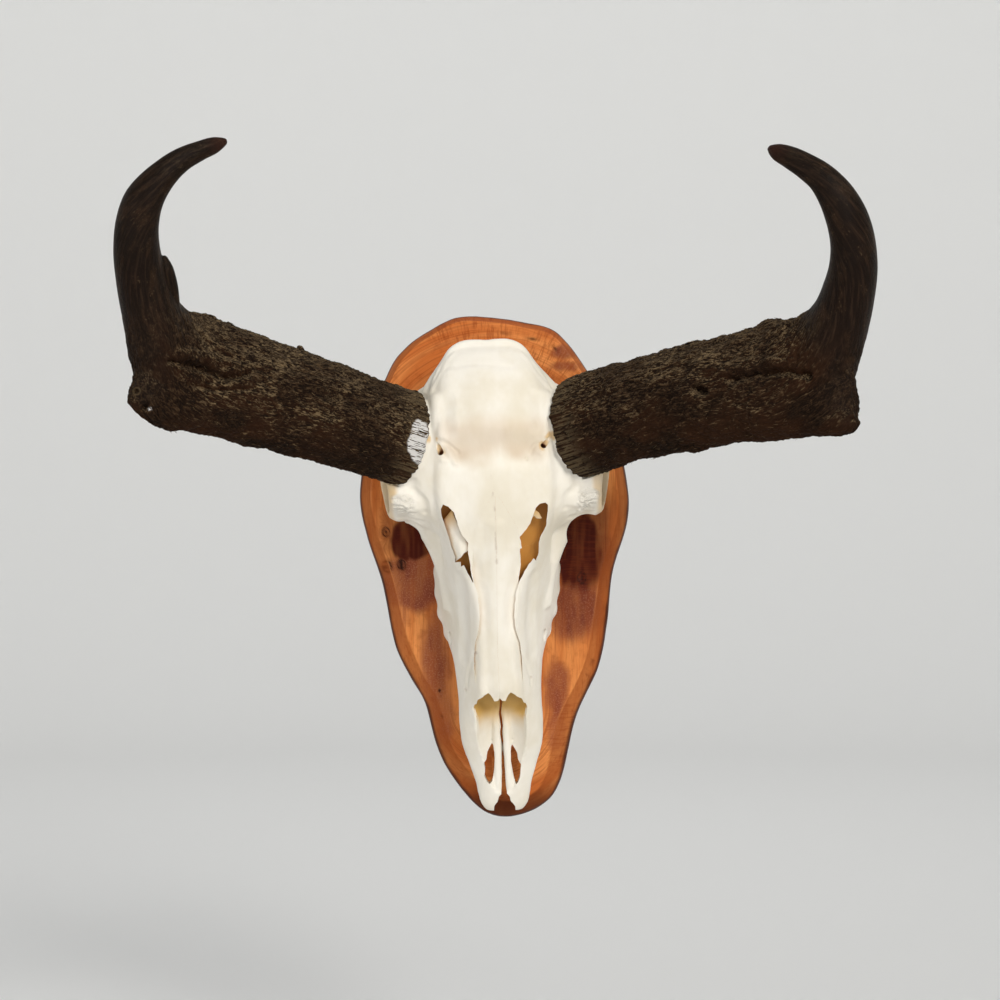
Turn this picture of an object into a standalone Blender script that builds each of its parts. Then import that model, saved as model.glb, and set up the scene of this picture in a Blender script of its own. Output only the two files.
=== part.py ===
"""Pronghorn skull with horn sheaths on a free-form wooden wall plaque, life size.

The skull hangs nose down with its forehead towards the viewer (-Y), its cheek teeth resting on
the plaque. +Z is up, +X is the viewer's right, and the origin is the middle of the plaque's flat
back. The skull is shaped whole, in its own frame, and then parted along its sutures.

Sizes are in millimetres. A point of the skull is (x, height off the plaque's face, z).
"""
import math

import bmesh
import bpy
import numpy as np
from mathutils import Matrix, Vector

MM = 0.001
GAP = 0.3

# Driving sizes
PLAQUE_THICKNESS = 25.0
PLAQUE_ROUNDING = 11.0
ORBIT_BREADTH = 135.0
ORBIT_RADIUS = 21.5
ORBIT_RIM_RADIUS = 27.0
TOOTH_COUNT = 6
TOOTH_ROW_LENGTH = 74.0
TOOTH_ROW_BACK_Z = 29.0
TOOTH_HEIGHT = 11.0
TOOTH_ROOT = 6.0
HORN_BASE_HALF_LENGTH = 30.0
HORN_BASE_HALF_WIDTH = 21.0
SHEATH_OVERHANG = 3.5
PEDICLE_LENGTH = 32.0
NASAL_THICKNESS = 7.0
ROOF_CROWN = 0.78

# The skull hangs a little askew, and its face bows to one side
SKULL_LEAN = math.radians(1.7)
LEAN_PIVOT_Z = 55.0
FACE_BOW = 1.3
FACE_BOW_Z = -50.0
FACE_BOW_REACH = 45.0

# Fineness of the solids
BONE_VOXEL = 1.7
BONE_TRIANGLES = 6000
RING_STEP = 4.0
SECTION_SPLITS = 5
HORN_STEP = 8.0
HORN_SIDES = 20
PEDICLE_SIDES = 24
SHADE_ANGLE = math.radians(35)
MERGE_DISTANCE = 0.002

# Where a horn is parted: a share of the way from its fork to the next station, and a length
# along the prong from its second station
TINE_CUT_SHARE = 0.35
PRONG_CUT = 7.0

# Reach of the rooms that part the skull, well outside it
FAR = 220.0

SIDES = {"left": -1.0, "right": 1.0}

# Edge of the plaque, anticlockwise from the top, as (x, z)
PLAQUE_OUTLINE = (
    (-2, 158.3), (-24, 158), (-43, 149.4), (-57, 139), (-68, 124), (-79, 92), (-86, 48),
    (-82, 20), (-72.5, -9), (-64, -49), (-54, -71), (-45, -87), (-37.5, -114), (-28, -133),
    (-10, -154), (8, -159.5), (29, -152.7), (42, -136), (52, -96), (66, -64), (71.5, -36),
    (75, -4), (84.5, 29), (84, 56), (74, 95), (59.5, 123.5), (40, 148.2), (18, 155.2),
)

# Sections of the braincase and face, as
# (z, top height, roof half width, roof height, side half width, side height,
#  lower half width, lower height, underside height)
BODY_SECTIONS = (
    (140.5, 57, 13, 54, 16, 44, 11, 30, 26),
    (133, 65.5, 22, 61, 26, 46, 20, 20, 15),
    (124, 74.5, 28, 69, 34, 48, 28, 17, 12),
    (110, 84, 31, 78, 40.5, 52, 31, 17, 12),
    (93, 91, 32, 85, 40.5, 55, 28, 19, 13),
    (76, 95, 34, 89, 37, 60, 22, 24, 14),
    (56, 95, 36, 89, 33, 62, 17, 26, 13),
    (36, 91, 34, 85, 33, 54, 27, 16, 10),
    (16, 84, 27, 78.5, 35.5, 45, 35, 13, 9),
    (-4, 77.5, 19.5, 73.5, 33.5, 43, 38.5, 12.5, 9),
    (-24, 72, 14, 69, 29.5, 40, 36.8, 12, 9),
    (-44, 67, 13, 64.5, 27.5, 38, 30.5, 13, 9),
    (-64, 61.5, 13, 59.5, 26.3, 35, 22, 14, 10),
    (-82, 56, 13, 54, 25.3, 33, 18, 15, 11),
    (-96, 47, 14, 45, 25.2, 31, 18, 15, 12),
    (-110, 38, 14, 36, 23, 27, 17, 14, 12),
    (-122, 31, 12, 29.5, 19.8, 22, 14.5, 13, 11),
    (-133, 26, 11, 25, 17, 19, 13, 12, 10.5),
    (-143, 21.5, 10.5, 20.5, 16, 16, 12, 11.5, 10),
    (-149, 18, 8.5, 17.5, 12.5, 14.5, 9.5, 11, 10),
    (-152, 15.5, 5, 15, 7.5, 13.5, 5.5, 11.5, 11),
)

# Shelf of the frontal bone over the orbits, in the same columns
BROW_SECTIONS = (
    (104, 78, 24, 75, 32, 70, 24, 62, 60),
    (94, 88, 36, 82, 47, 74, 38, 64, 62),
    (78, 93, 42, 86, 57, 76, 48, 64, 62),
    (62, 94, 44, 86, 63, 76, 54, 66, 62),
    (48, 92, 44, 84, 65, 73, 56, 62, 60),
    (37, 89, 40, 80, 61, 68, 52, 56, 56),
    (28, 85, 32, 76, 46, 62, 40, 54, 54),
    (20, 80, 22, 72, 34, 60, 28, 54, 54),
)

# Left half of the crest that edges the back of the head, from the side to the middle
CREST = ((39, 48, 108), (35, 55, 119.5), (28, 59, 130.5), (17, 60, 138), (0, 60.5, 138.5))

# Opening of the nose from in front: the notched ends of the nasal bones, then the side walls
NOSE_OPENING = ((0, -78.5), (3.4, -80.5), (7, -75), (13.4, -79.5), (16.2, -90), (15.6, -104),
                (12.5, -118), (8, -134))

# Sutures seen from the side, as (height, z): behind the face, behind the muzzle, round the cheek
FACE_SUTURE = ((-20, 16), (34, 16), (54, 8), (130, 8))
FACE_SUTURE_SLOPE = 0.32
MUZZLE_SUTURE = ((-20, -104), (0, -104), (70, -64), (130, -64))
CHEEK_SUTURE = ((-20, 13), (-20, 89), (42, 89), (45, 60), (50, 40), (48, 26), (36, 15), (18, 11))
CHEEK_INNER_X = 38.0

# Outline of one nasal bone, as (z, height of the face there, half width)
NASAL_OUTLINE = (
    (44, 92, 2), (36, 90, 7), (26, 87.5, 12), (8, 81.5, 14.2), (-6, 77.5, 13.8),
    (-20, 73, 11.2), (-34, 69.5, 10.8), (-48, 66, 13), (-66, 61, 13.4), (-90, 53, 13.4),
)

# Inner edge of one premaxilla, as (x, z): a slit that widens to a notch at the tip
MUZZLE_SLIT = ((0.15, 0), (0.5, -78), (0.8, -112), (0.5, -118), (0.9, -124), (1.6, -140),
               (3.2, -146), (5.2, -149), (7.0, -156))

# Right horn sheath's middle line, from its base to its tip, as
# (x, distance off the wall, z, half width across the view, half thickness)
RIGHT_HORN = (
    (49.3, 105, 85, 30, 21), (66.6, 121, 90.3, 29.8, 21), (88, 142, 96, 29.6, 21),
    (115, 168, 102, 30.2, 20.5), (141.8, 192, 106, 31.5, 20), (163, 212, 111, 33, 19),
    (178, 227, 122, 26.5, 18), (187.5, 239, 138, 18.5, 16), (191.8, 249, 154, 15.6, 14.2),
    (193.4, 257, 168.4, 13.9, 13), (192.3, 262, 180.8, 12.9, 12), (187.7, 267, 194.7, 11.4, 10.8),
    (182, 269, 205, 9.8, 9.4), (175, 269.5, 213.5, 8.2, 8), (166, 267.5, 220.5, 7, 6.8),
    (157.3, 264, 226, 5.8, 5.6), (150, 260, 229.8, 3.6, 3.6), (147.6, 258.5, 231.4, 1.4, 1.4),
)
LEFT_HORN = (
    (-54.9, 105, 79.6, 29, 21), (-73, 121, 85.2, 29, 21), (-96, 142, 92.6, 29.6, 21),
    (-122.9, 168, 100.4, 30.7, 20.5), (-150, 193, 108, 31.5, 20), (-170, 213, 115, 33, 19),
    (-181, 229, 127.5, 26.5, 18), (-186.8, 243, 145, 17.2, 15.5), (-190.6, 253, 163, 14.6, 13.6),
    (-191.9, 260, 177, 13.2, 12.5), (-190.7, 265, 191, 12, 11.4), (-187.2, 268, 201.5, 10.8, 10.2),
    (-182.6, 269, 208.5, 9.4, 9), (-176, 269, 216, 7.8, 7.6), (-167.7, 267, 223.3, 6.5, 6.3),
    (-157.8, 263, 229, 5.3, 5.1), (-148.1, 258.5, 233.6, 3.8, 3.6), (-144, 256.5, 235.4, 1.5, 1.5),
)
# Prongs, in the same columns
RIGHT_PRONG = (
    (150, 207, 105, 24, 15), (168, 219, 100, 24, 14.5), (181, 231, 95, 18.5, 12.5),
    (189.5, 242, 90.5, 11, 9.5), (193, 247, 88.5, 5, 5),
)
LEFT_PRONG = (
    (-158, 208, 110, 24, 15), (-174, 220, 103, 24, 14.5), (-185, 232, 97, 18.5, 12.5),
    (-192.5, 243, 91.5, 11, 9.5), (-195.5, 248, 89, 5, 5),
)

# Finishes
BONE_COLOUR = (0.83, 0.78, 0.68, 1.0)
HORN_COLOUR = (0.028, 0.020, 0.014, 1.0)
WOOD_COLOUR = (0.42, 0.15, 0.045, 1.0)


def clear_scene():
    """Remove the objects that the scene starts with."""
    for obj in list(bpy.data.objects):
        bpy.data.objects.remove(obj, do_unlink=True)


def make_material(name, colour, roughness):
    """Return a Principled material."""
    material = bpy.data.materials.new(name)
    material.use_nodes = True
    shader = material.node_tree.nodes["Principled BSDF"]
    shader.inputs["Base Color"].default_value = colour
    shader.inputs["Roughness"].default_value = roughness
    shader.inputs["Metallic"].default_value = 0.0
    return material


def resample(rows, step, columns=3):
    """Return rows on a smooth curve through the given rows, about one step apart."""
    rows = np.array(rows, dtype=float)
    spans = np.linalg.norm(np.diff(rows[:, :columns], axis=0), axis=1)
    knots = np.concatenate(([0.0], np.cumsum(spans)))
    slopes = np.gradient(rows, knots, axis=0)
    count = max(2, int(round(knots[-1] / step)) + 1)
    result = []
    for place in np.linspace(0.0, knots[-1], count):
        index = min(int(np.searchsorted(knots, place, side="right")) - 1, len(spans) - 1)
        length = spans[index]
        t = (place - knots[index]) / length
        start = rows[index] * (2 * t**3 - 3 * t**2 + 1)
        end = rows[index + 1] * (3 * t**2 - 2 * t**3)
        leave = slopes[index] * length * (t**3 - 2 * t**2 + t)
        arrive = slopes[index + 1] * length * (t**3 - t**2)
        result.append(start + end + leave + arrive)
    return np.array(result)


def closed_curve(points, splits):
    """Return points on a closed smooth curve through the given points."""
    points = np.array(points, dtype=float)
    before, after = np.roll(points, 1, axis=0), np.roll(points, -1, axis=0)
    beyond = np.roll(points, -2, axis=0)
    parts = []
    for t in np.arange(splits) / splits:
        curve = 2 * points + (after - before) * t
        curve += (2 * before - 5 * points + 4 * after - beyond) * t**2
        curve += (3 * points - before - 3 * after + beyond) * t**3
        parts.append(curve / 2)
    return np.stack(parts, axis=1).reshape(-1, points.shape[1])


def skin(name, rings):
    """Return a closed mesh object through rings of points (x, height off the wall, z)."""
    mesh = bmesh.new()
    loops = []
    for ring in rings:
        loops.append([mesh.verts.new((x * MM, -height * MM, z * MM)) for x, height, z in ring])
    for lower, upper in zip(loops, loops[1:]):
        for index in range(len(lower)):
            following = (index + 1) % len(lower)
            mesh.faces.new((lower[index], lower[following], upper[following], upper[index]))
    for loop in (loops[0], loops[-1]):
        centre = sum((vert.co for vert in loop), Vector()) / len(loop)
        hub = mesh.verts.new(centre)
        for index in range(len(loop)):
            mesh.faces.new((loop[index], loop[(index + 1) % len(loop)], hub))
    bmesh.ops.recalc_face_normals(mesh, faces=mesh.faces)
    data = bpy.data.meshes.new(name)
    mesh.to_mesh(data)
    mesh.free()
    obj = bpy.data.objects.new(name, data)
    bpy.context.scene.collection.objects.link(obj)
    return obj


def lofted(name, sections):
    """Return the solid through the sections of the braincase, the face or the brow."""
    rings = []
    for row in resample(sections, RING_STEP, columns=1):
        z, top, roof_w, roof_h, side_w, side_h, low_w, low_h, floor = row
        crown_h = roof_h + ROOF_CROWN * (top - roof_h)
        half = [(0.5 * roof_w, crown_h), (roof_w, roof_h), (side_w, side_h), (low_w, low_h),
                (0.5 * low_w, floor)]
        outline = [(0.0, top)] + half + [(0.0, floor)]
        outline += [(-x, h) for x, h in reversed(half)]
        rings.append([(x, h, z) for x, h in closed_curve(outline, SECTION_SPLITS)])
    return skin(name, rings)


def tube(name, stations, step=RING_STEP, sides=20, flat=(0.0, 0.0, 1.0)):
    """Return a tube of oval section along stations (x, height, z, half width, half thickness).

    The half width lies along the direction `flat`, as far as the tube's run allows.
    """
    rows = resample(stations, step)
    runs = np.gradient(rows[:, :3], axis=0)
    rings = []
    for row, run in zip(rows, runs):
        run = Vector(run).normalized()
        wide = Vector(flat)
        wide = (wide - run * wide.dot(run)).normalized()
        thin = run.cross(wide)
        ring = []
        for index in range(sides):
            angle = math.tau * index / sides
            offset = wide * (row[3] * math.cos(angle)) + thin * (row[4] * math.sin(angle))
            ring.append(Vector(row[:3]) + offset)
        rings.append(ring)
    return skin(name, rings)


def rod(name, stations, side=1.0, step=RING_STEP, sides=16, flat=(0.0, 0.0, 1.0)):
    """Return a round or oval rod; a station without a thickness is round."""
    rows = [(side * s[0], s[1], s[2], s[3], s[-1]) for s in stations]
    return tube(name, rows, step, sides, flat)


def ball(name, centre, radii):
    """Return an ellipsoid with radii along x, height and z."""
    x, height, z = centre
    rings = []
    for turn in np.linspace(-0.5 * math.pi, 0.5 * math.pi, 11)[1:-1]:
        ring = []
        for angle in np.linspace(0.0, math.tau, 17)[:-1]:
            ring.append((x + radii[0] * math.cos(turn) * math.cos(angle),
                         height + radii[1] * math.cos(turn) * math.sin(angle),
                         z + radii[2] * math.sin(turn)))
        rings.append(ring)
    return skin(name, rings)


def prism(name, outline, low, high):
    """Return an upright prism over an outline of (x, z), between two heights."""
    return skin(name, [[(x, height, z) for x, z in outline] for height in (low, high)])


def bake(obj):
    """Replace an object's mesh by the mesh that its modifiers make."""
    graph = bpy.context.evaluated_depsgraph_get()
    data = bpy.data.meshes.new_from_object(obj.evaluated_get(graph))
    obj.modifiers.clear()
    old = obj.data
    obj.data = data
    bpy.data.meshes.remove(old)


def combine(obj, others, operation):
    """Join others to obj, cut them out of it, or keep what they share, in one Boolean."""
    tools = bpy.data.collections.new("tools")
    bpy.context.scene.collection.children.link(tools)
    for other in others:
        tools.objects.link(other)
    modifier = obj.modifiers.new("Combine", "BOOLEAN")
    modifier.operation = operation
    modifier.solver = "EXACT"
    modifier.operand_type = "COLLECTION"
    modifier.collection = tools
    bake(obj)
    for other in others:
        data = other.data
        bpy.data.objects.remove(other, do_unlink=True)
        bpy.data.meshes.remove(data)
    bpy.data.collections.remove(tools)


def fuse_surface(obj, voxel, smoothing):
    """Rebuild an object's surface evenly and soften its creases."""
    remesh = obj.modifiers.new("Remesh", "REMESH")
    remesh.mode = "VOXEL"
    remesh.voxel_size = voxel * MM
    smooth = obj.modifiers.new("Smooth", "SMOOTH")
    smooth.factor = 0.5
    smooth.iterations = smoothing
    bake(obj)


def thin_out(obj, triangles):
    """Bring an object down to about this many triangles."""
    have = sum(len(face.vertices) - 2 for face in obj.data.polygons)
    if have > triangles:
        decimate = obj.modifiers.new("Decimate", "DECIMATE")
        decimate.ratio = triangles / have
        decimate.use_collapse_triangulate = True
        bake(obj)


def keep_largest(obj):
    """Keep only the largest connected surface of an object."""
    mesh = bmesh.new()
    mesh.from_mesh(obj.data)
    bmesh.ops.remove_doubles(mesh, verts=mesh.verts, dist=MERGE_DISTANCE * MM)
    bmesh.ops.dissolve_degenerate(mesh, edges=mesh.edges, dist=MERGE_DISTANCE * MM)
    waiting = set(mesh.faces)
    shells = []
    while waiting:
        shell = {waiting.pop()}
        border = list(shell)
        while border:
            face = border.pop()
            for edge in face.edges:
                for near in edge.link_faces:
                    if near not in shell:
                        shell.add(near)
                        border.append(near)
        waiting -= shell
        shells.append(shell)
    shells.sort(key=lambda shell: sum(face.calc_area() for face in shell))
    scraps = [face for shell in shells[:-1] for face in shell]
    bmesh.ops.delete(mesh, geom=scraps, context="FACES")
    mesh.to_mesh(obj.data)
    mesh.free()


def duplicate(obj, name):
    """Return a copy of an object with a mesh of its own."""
    copy = bpy.data.objects.new(name, obj.data.copy())
    bpy.context.scene.collection.objects.link(copy)
    return copy


def finish_node(obj, material):
    """Give a node its material and smooth shading."""
    keep_largest(obj)
    obj.data.materials.clear()
    obj.data.materials.append(material)
    obj.data.shade_smooth()
    obj.data.set_sharp_from_angle(angle=SHADE_ANGLE)


# Plaque

def build_plaque(material):
    """Make the plaque: a free-form slab, flat behind, its front edge rounded over."""
    outline = closed_curve(PLAQUE_OUTLINE, 4)
    edge = np.roll(outline, -1, axis=0) - np.roll(outline, 1, axis=0)
    edge /= np.linalg.norm(edge, axis=1)[:, None]
    inward = np.stack((-edge[:, 1], edge[:, 0]), axis=1)
    steps = [(0.0, 0.0), (0.0, PLAQUE_THICKNESS - PLAQUE_ROUNDING)]
    for angle in np.radians((22.5, 45.0, 67.5, 90.0)):
        steps.append((PLAQUE_ROUNDING * (1 - math.cos(angle)),
                      PLAQUE_THICKNESS - PLAQUE_ROUNDING * (1 - math.sin(angle))))
    rings = []
    for inset, height in steps:
        rings.append([(x, height, z) for x, z in outline + inward * inset])
    plaque = skin("plaque", rings)
    finish_node(plaque, material)
    return plaque


# Skull

def bone_masses():
    """Return the closed masses that are fused to the braincase and face."""
    masses = [lofted("brow", BROW_SECTIONS)]
    for name, side in SIDES.items():
        cup = ((14, 50, 66, 16), (35, 54, 62, 24), (54, 56.5, 58.5, 27.5),
               (64, 57, 58, ORBIT_RIM_RADIUS), (0.5 * ORBIT_BREADTH, 57.5, 57.5, 24.5))
        masses.append(rod("cup_" + name, cup, side, sides=28))
        arch = ((28, 30, 10, 7), (43, 30, 27, 8), (57, 29, 44, 7.5), (62.5, 29.5, 60, 6),
                (62, 31, 76, 5.2), (58, 33, 90, 5.2), (50, 34, 100, 6), (36, 33, 107, 8))
        masses.append(rod("arch_" + name, arch, side))
        bar = ((56, 70, 82, 6), (61, 55, 84, 4.5), (61, 40, 80, 5), (60, 32, 76, 5))
        masses.append(rod("postorbital_bar_" + name, bar, side))
        cheek = ((46, 52, 42, 14), (36, 44, 22, 10), (29, 38, 0, 8.5), (26, 34, -24, 8))
        masses.append(rod("cheek_" + name, cheek, side))
        masses.append(ball("condyle_" + name, (side * 13, 17, 128), (9, 12, 13)))
        masses.append(ball("bulla_" + name, (side * 19, 13, 100), (8.5, 11, 13)))
        process = ((27, 26, 114, 8), (29, 13, 119, 6), (30, 3.5, 122, 3.2))
        masses.append(rod("paroccipital_process_" + name, process, side))
        meatus = ((26, 26, 103, 9), (36, 31, 106, 6.5), (42, 34, 107, 5.5))
        masses.append(rod("ear_tube_" + name, meatus, side))
        wing = ((13, 24, 84, 4.5), (11.5, 15, 68, 4), (12, 12, 52, 4), (15, 14, 36, 6))
        masses.append(rod("pterygoid_" + name, wing, side))
    crest = [(side * x, height, z) for side, run in ((-1, CREST), (1, CREST[-2::-1]))
             for x, height, z in run]
    masses.append(tube("nuchal_crest", [(*point, 4.0, 4.0) for point in crest], sides=12))
    masses.append(rod("basioccipital", ((0, 20, 128, 9), (0, 17, 108, 9), (0, 18, 80, 8))))
    return masses


def pedicle(name, horn):
    """Return the bony stump that a horn sheath sits on, ending just short of the sheath."""
    base, second = Vector(horn[0][:3]), Vector(horn[1][:3])
    run = (second - base).normalized()
    base.y -= PLAQUE_THICKNESS + GAP
    start = base - run * PEDICLE_LENGTH
    end = base - run * GAP
    long_half = HORN_BASE_HALF_LENGTH - SHEATH_OVERHANG
    short_half = HORN_BASE_HALF_WIDTH - SHEATH_OVERHANG
    stations = []
    for share, grow in ((0.0, 1.08), (0.5, 1.05), (0.8, 1.0), (1.0, 1.0)):
        point = start.lerp(end, share)
        stations.append((*point, long_half * grow, short_half * grow))
    return tube(name, stations, step=HORN_STEP, sides=PEDICLE_SIDES)


def tooth_rows():
    """Return the cheek teeth, each a pair of lobes, on both sides."""
    teeth = []
    pitch = TOOTH_ROW_LENGTH / TOOTH_COUNT
    for name, side in SIDES.items():
        for index in range(TOOTH_COUNT):
            z = TOOTH_ROW_BACK_Z - pitch * (index + 0.5)
            share = (index + 0.5) / TOOTH_COUNT
            x = 29.0 + 3.0 * math.sin(math.pi * (0.25 + 0.5 * share)) - 11.0 * share**1.8
            half_width = 7.0 - 2.2 * share**2
            for lobe in (-0.25, 0.25):
                centre_z = z + lobe * pitch
                outline = []
                for turn in range(10):
                    angle = math.tau * turn / 10
                    outline.append((side * x + half_width * math.cos(angle),
                                    centre_z + 0.33 * pitch * math.sin(angle)))
                teeth.append(prism("tooth_" + name, outline, 0.0, TOOTH_HEIGHT + TOOTH_ROOT))
    return teeth


def bone_hollows():
    """Return the closed shapes that are cut out of the bone."""
    hollows = []
    for name, side in SIDES.items():
        orbit = ((16, 49, 66, 6), (35, 53, 62.5, 15), (54, 56.5, 58.5, 20.5),
                 (66, 57.5, 57.5, ORBIT_RADIUS), (84, 59, 56, 24))
        hollows.append(rod("orbit_" + name, orbit, side, sides=28))
        hollows.append(ball("temporal_gap_" + name, (side * 49, 52, 87), (7.5, 15, 12)))
        opening = [(side * x, z) for x, z in (
            (31, 37), (25, 33), (20.5, 24), (15.5, 12), (14.5, -9), (20, -2), (24, 8), (29, 20))]
        hollows.append(prism("vacuity_" + name, closed_curve(opening, 3), 44, 110))
        foramen = ((30.5, 104, 74, 2.2), (30, 84, 71.5, 2.2))
        hollows.append(rod("supraorbital_foramen_" + name, foramen, side, sides=10))
        fissure = [(side * x, z) for x, z in ((6, -108), (11, -118), (11.5, -127), (8, -134.5),
                                              (4.8, -122))]
        hollows.append(prism("incisive_fissure_" + name, closed_curve(fissure, 3), -5, 60))
        nerve = ((34, 30, -47, 3.5), (22, 34, -36, 3))
        hollows.append(rod("infraorbital_foramen_" + name, nerve, side, sides=10))
    cavity = ((0, 33, -40, 6, 5), (0, 36, -58, 11, 10), (0, 38, -78, 14.5, 13),
              (0, 41, -96, 16, 19), (0, 40, -112, 15, 21), (0, 36, -124, 12, 19),
              (0, 33, -138, 8, 14))
    opening = list(NOSE_OPENING) + [(-x, z) for x, z in reversed(NOSE_OPENING[1:])]
    hollows.append(prism("nose_opening", opening, 34, 110))
    hollows.append(rod("nasal_cavity", cavity, sides=24, flat=(1.0, 0.0, 0.0)))
    hollows.append(rod("foramen_magnum", ((0, 27, 146, 11), (0, 27, 122, 8)), sides=16))
    hollows.append(rod("palate", ((0, -2, 60, 11), (0, -4, 36, 17), (0, -5, 10, 20),
                                  (0, -5, -20, 18), (0, -4, -46, 13), (0, -3, -80, 12)),
                       sides=20))
    hollows.append(rod("choana", ((0, 8, 62, 8), (0, 24, 44, 7)), sides=16))
    return hollows


def shape_skull():
    """Shape the whole skull, before it is parted into bones."""
    skull = lofted("skull", BODY_SECTIONS)
    combine(skull, bone_masses(), "UNION")
    fuse_surface(skull, BONE_VOXEL, 7)
    combine(skull, bone_hollows(), "DIFFERENCE")
    combine(skull, tooth_rows() + [pedicle("pedicle_left", upright(LEFT_HORN)),
                                   pedicle("pedicle_right", upright(RIGHT_HORN))], "UNION")
    fuse_surface(skull, BONE_VOXEL, 2)
    thin_out(skull, BONE_TRIANGLES)
    keep_largest(skull)
    return skull


def upright(stations):
    """Return horn stations turned back from the skull's lean, for work in the skull's frame."""
    turn = Matrix.Rotation(SKULL_LEAN, 3, "Y")
    pivot = Vector((0.0, 0.0, LEAN_PIVOT_Z))
    result = []
    for station in stations:
        point = Vector((station[0], station[1], station[2])) - pivot
        result.append((*(turn @ point + pivot), *station[3:]))
    return result


def nasal_room(name, side, grow):
    """Return the room of one nasal bone, from its underside to well above the face."""
    rings = []
    for z, top, half_width in resample(NASAL_OUTLINE, 5.0, columns=1):
        low, outer, inner = top - NASAL_THICKNESS - grow, half_width + grow, 0.5 * GAP - grow
        ring = [(inner, low), (outer, low), (outer, FAR), (inner, FAR)]
        rings.append([(side * x, height, z) for x, height in ring])
    rings[0] = [(x, height, z + grow) for x, height, z in rings[0]]
    return skin(name, rings)


def suture_room(name, suture, far_z, shift, slope=0.0, side=1.0):
    """Return all that lies on one side of a suture across the skull, as far as far_z.

    The suture moves up by `shift`, and up by `slope` for each millimetre off the middle.
    """
    outline = [(height, z + shift) for height, z in suture]
    rings = []
    for x in (-1.0, FAR):
        ring = [(side * x, height, z + slope * x) for height, z in outline]
        ring += [(side * x, outline[-1][0], far_z), (side * x, outline[0][0], far_z)]
        rings.append(ring)
    return skin(name, rings)


def cheek_room(name, side, grow):
    """Return the room of one cheek bone, under the orbit and along the arch."""
    middle = np.mean(CHEEK_SUTURE, axis=0)
    outline = [tuple(point + grow * np.sign(point - middle)) for point in np.array(CHEEK_SUTURE)]
    rings = []
    for x in (CHEEK_INNER_X - grow, FAR):
        rings.append([(side * x, height, z) for height, z in outline])
    return skin(name, rings)


def side_room(name, side, inset):
    """Return the half of space on one side of the skull's middle."""
    outline = ((-FAR, -FAR), (-FAR, FAR), (FAR, FAR), (FAR, -FAR))
    return skin(name, [[(side * x, height, z) for height, z in outline] for x in (inset, FAR)])


def slit(name, side):
    """Return what is cut off one premaxilla: the other half, and the slit between them."""
    outline = [(side * x, z) for x, z in MUZZLE_SLIT]
    outline += [(-side * FAR, MUZZLE_SLIT[-1][1]), (-side * FAR, MUZZLE_SLIT[0][1])]
    return prism(name, outline, -FAR, FAR)


def part_bones(skull):
    """Part the skull along its sutures and return the bones."""
    half = 0.5 * GAP
    cranium = duplicate(skull, "cranium")
    bones = [cranium]
    rooms = []
    for name, side in SIDES.items():
        face = (FACE_SUTURE, -FAR, half, FACE_SUTURE_SLOPE, side)
        behind = (FACE_SUTURE, FAR, -half, FACE_SUTURE_SLOPE, side)
        rooms += [suture_room("face", *face), nasal_room("nasal", side, half),
                  cheek_room("cheek", side, half)]

        zygomatic = duplicate(skull, "zygomatic_" + name)
        combine(zygomatic, [cheek_room("cheek", side, -half)], "INTERSECT")
        maxilla = duplicate(skull, "maxilla_" + name)
        combine(maxilla, [side_room("side", side, half)], "INTERSECT")
        combine(maxilla, [suture_room("behind", *behind),
                          suture_room("muzzle", MUZZLE_SUTURE, -FAR, half, side=side),
                          nasal_room("nasal", side, half), cheek_room("cheek", side, half)],
                "DIFFERENCE")
        premaxilla = duplicate(skull, "premaxilla_" + name)
        combine(premaxilla, [suture_room("muzzle", MUZZLE_SUTURE, -FAR, -half, side=side)],
                "INTERSECT")
        combine(premaxilla, [nasal_room("nasal", side, half), slit("slit", side)], "DIFFERENCE")
        nasal = duplicate(skull, "nasal_" + name)
        combine(nasal, [nasal_room("nasal", side, -half)], "INTERSECT")
        bones += [zygomatic, maxilla, premaxilla, nasal]
    combine(cranium, rooms, "DIFFERENCE")
    return bones


def settle_in_place(objects):
    """Lean the skull a little and stand it off the wall by the plaque's thickness."""
    pivot = Matrix.Translation((0.0, 0.0, LEAN_PIVOT_Z * MM))
    lean = pivot @ Matrix.Rotation(-SKULL_LEAN, 4, "Y") @ pivot.inverted()
    stand = Matrix.Translation((0.0, -(PLAQUE_THICKNESS + GAP) * MM, 0.0))
    for obj in objects:
        for vert in obj.data.vertices:
            away = (vert.co.z / MM - FACE_BOW_Z) / FACE_BOW_REACH
            vert.co.x -= FACE_BOW * MM * math.exp(-away * away)
        obj.data.transform(stand @ lean)


# Horns

def horn_room(name, stations):
    """Return the room of a horn's lower length, with a gap all round, to trim the bone by."""
    base, second = Vector(stations[0][:3]), Vector(stations[1][:3])
    start = base - (second - base).normalized() * GAP
    rows = [(*start, stations[0][3] + GAP, stations[0][4] + GAP)]
    rows += [(*row[:3], row[3] + GAP, row[4] + GAP) for row in stations[1:5]]
    return tube(name, rows, step=HORN_STEP, sides=HORN_SIDES)


def half_space(name, point, direction):
    """Return a big box that begins at a plane and fills the side that `direction` points to."""
    direction = Vector(direction).normalized()
    across = direction.orthogonal().normalized()
    other = direction.cross(across)
    rings = []
    for reach in (0.0, 2 * FAR):
        ring = []
        for a, b in ((-FAR, -FAR), (FAR, -FAR), (FAR, FAR), (-FAR, FAR)):
            ring.append(Vector(point) + across * a + other * b + direction * reach)
        rings.append(ring)
    return skin(name, rings)


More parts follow.
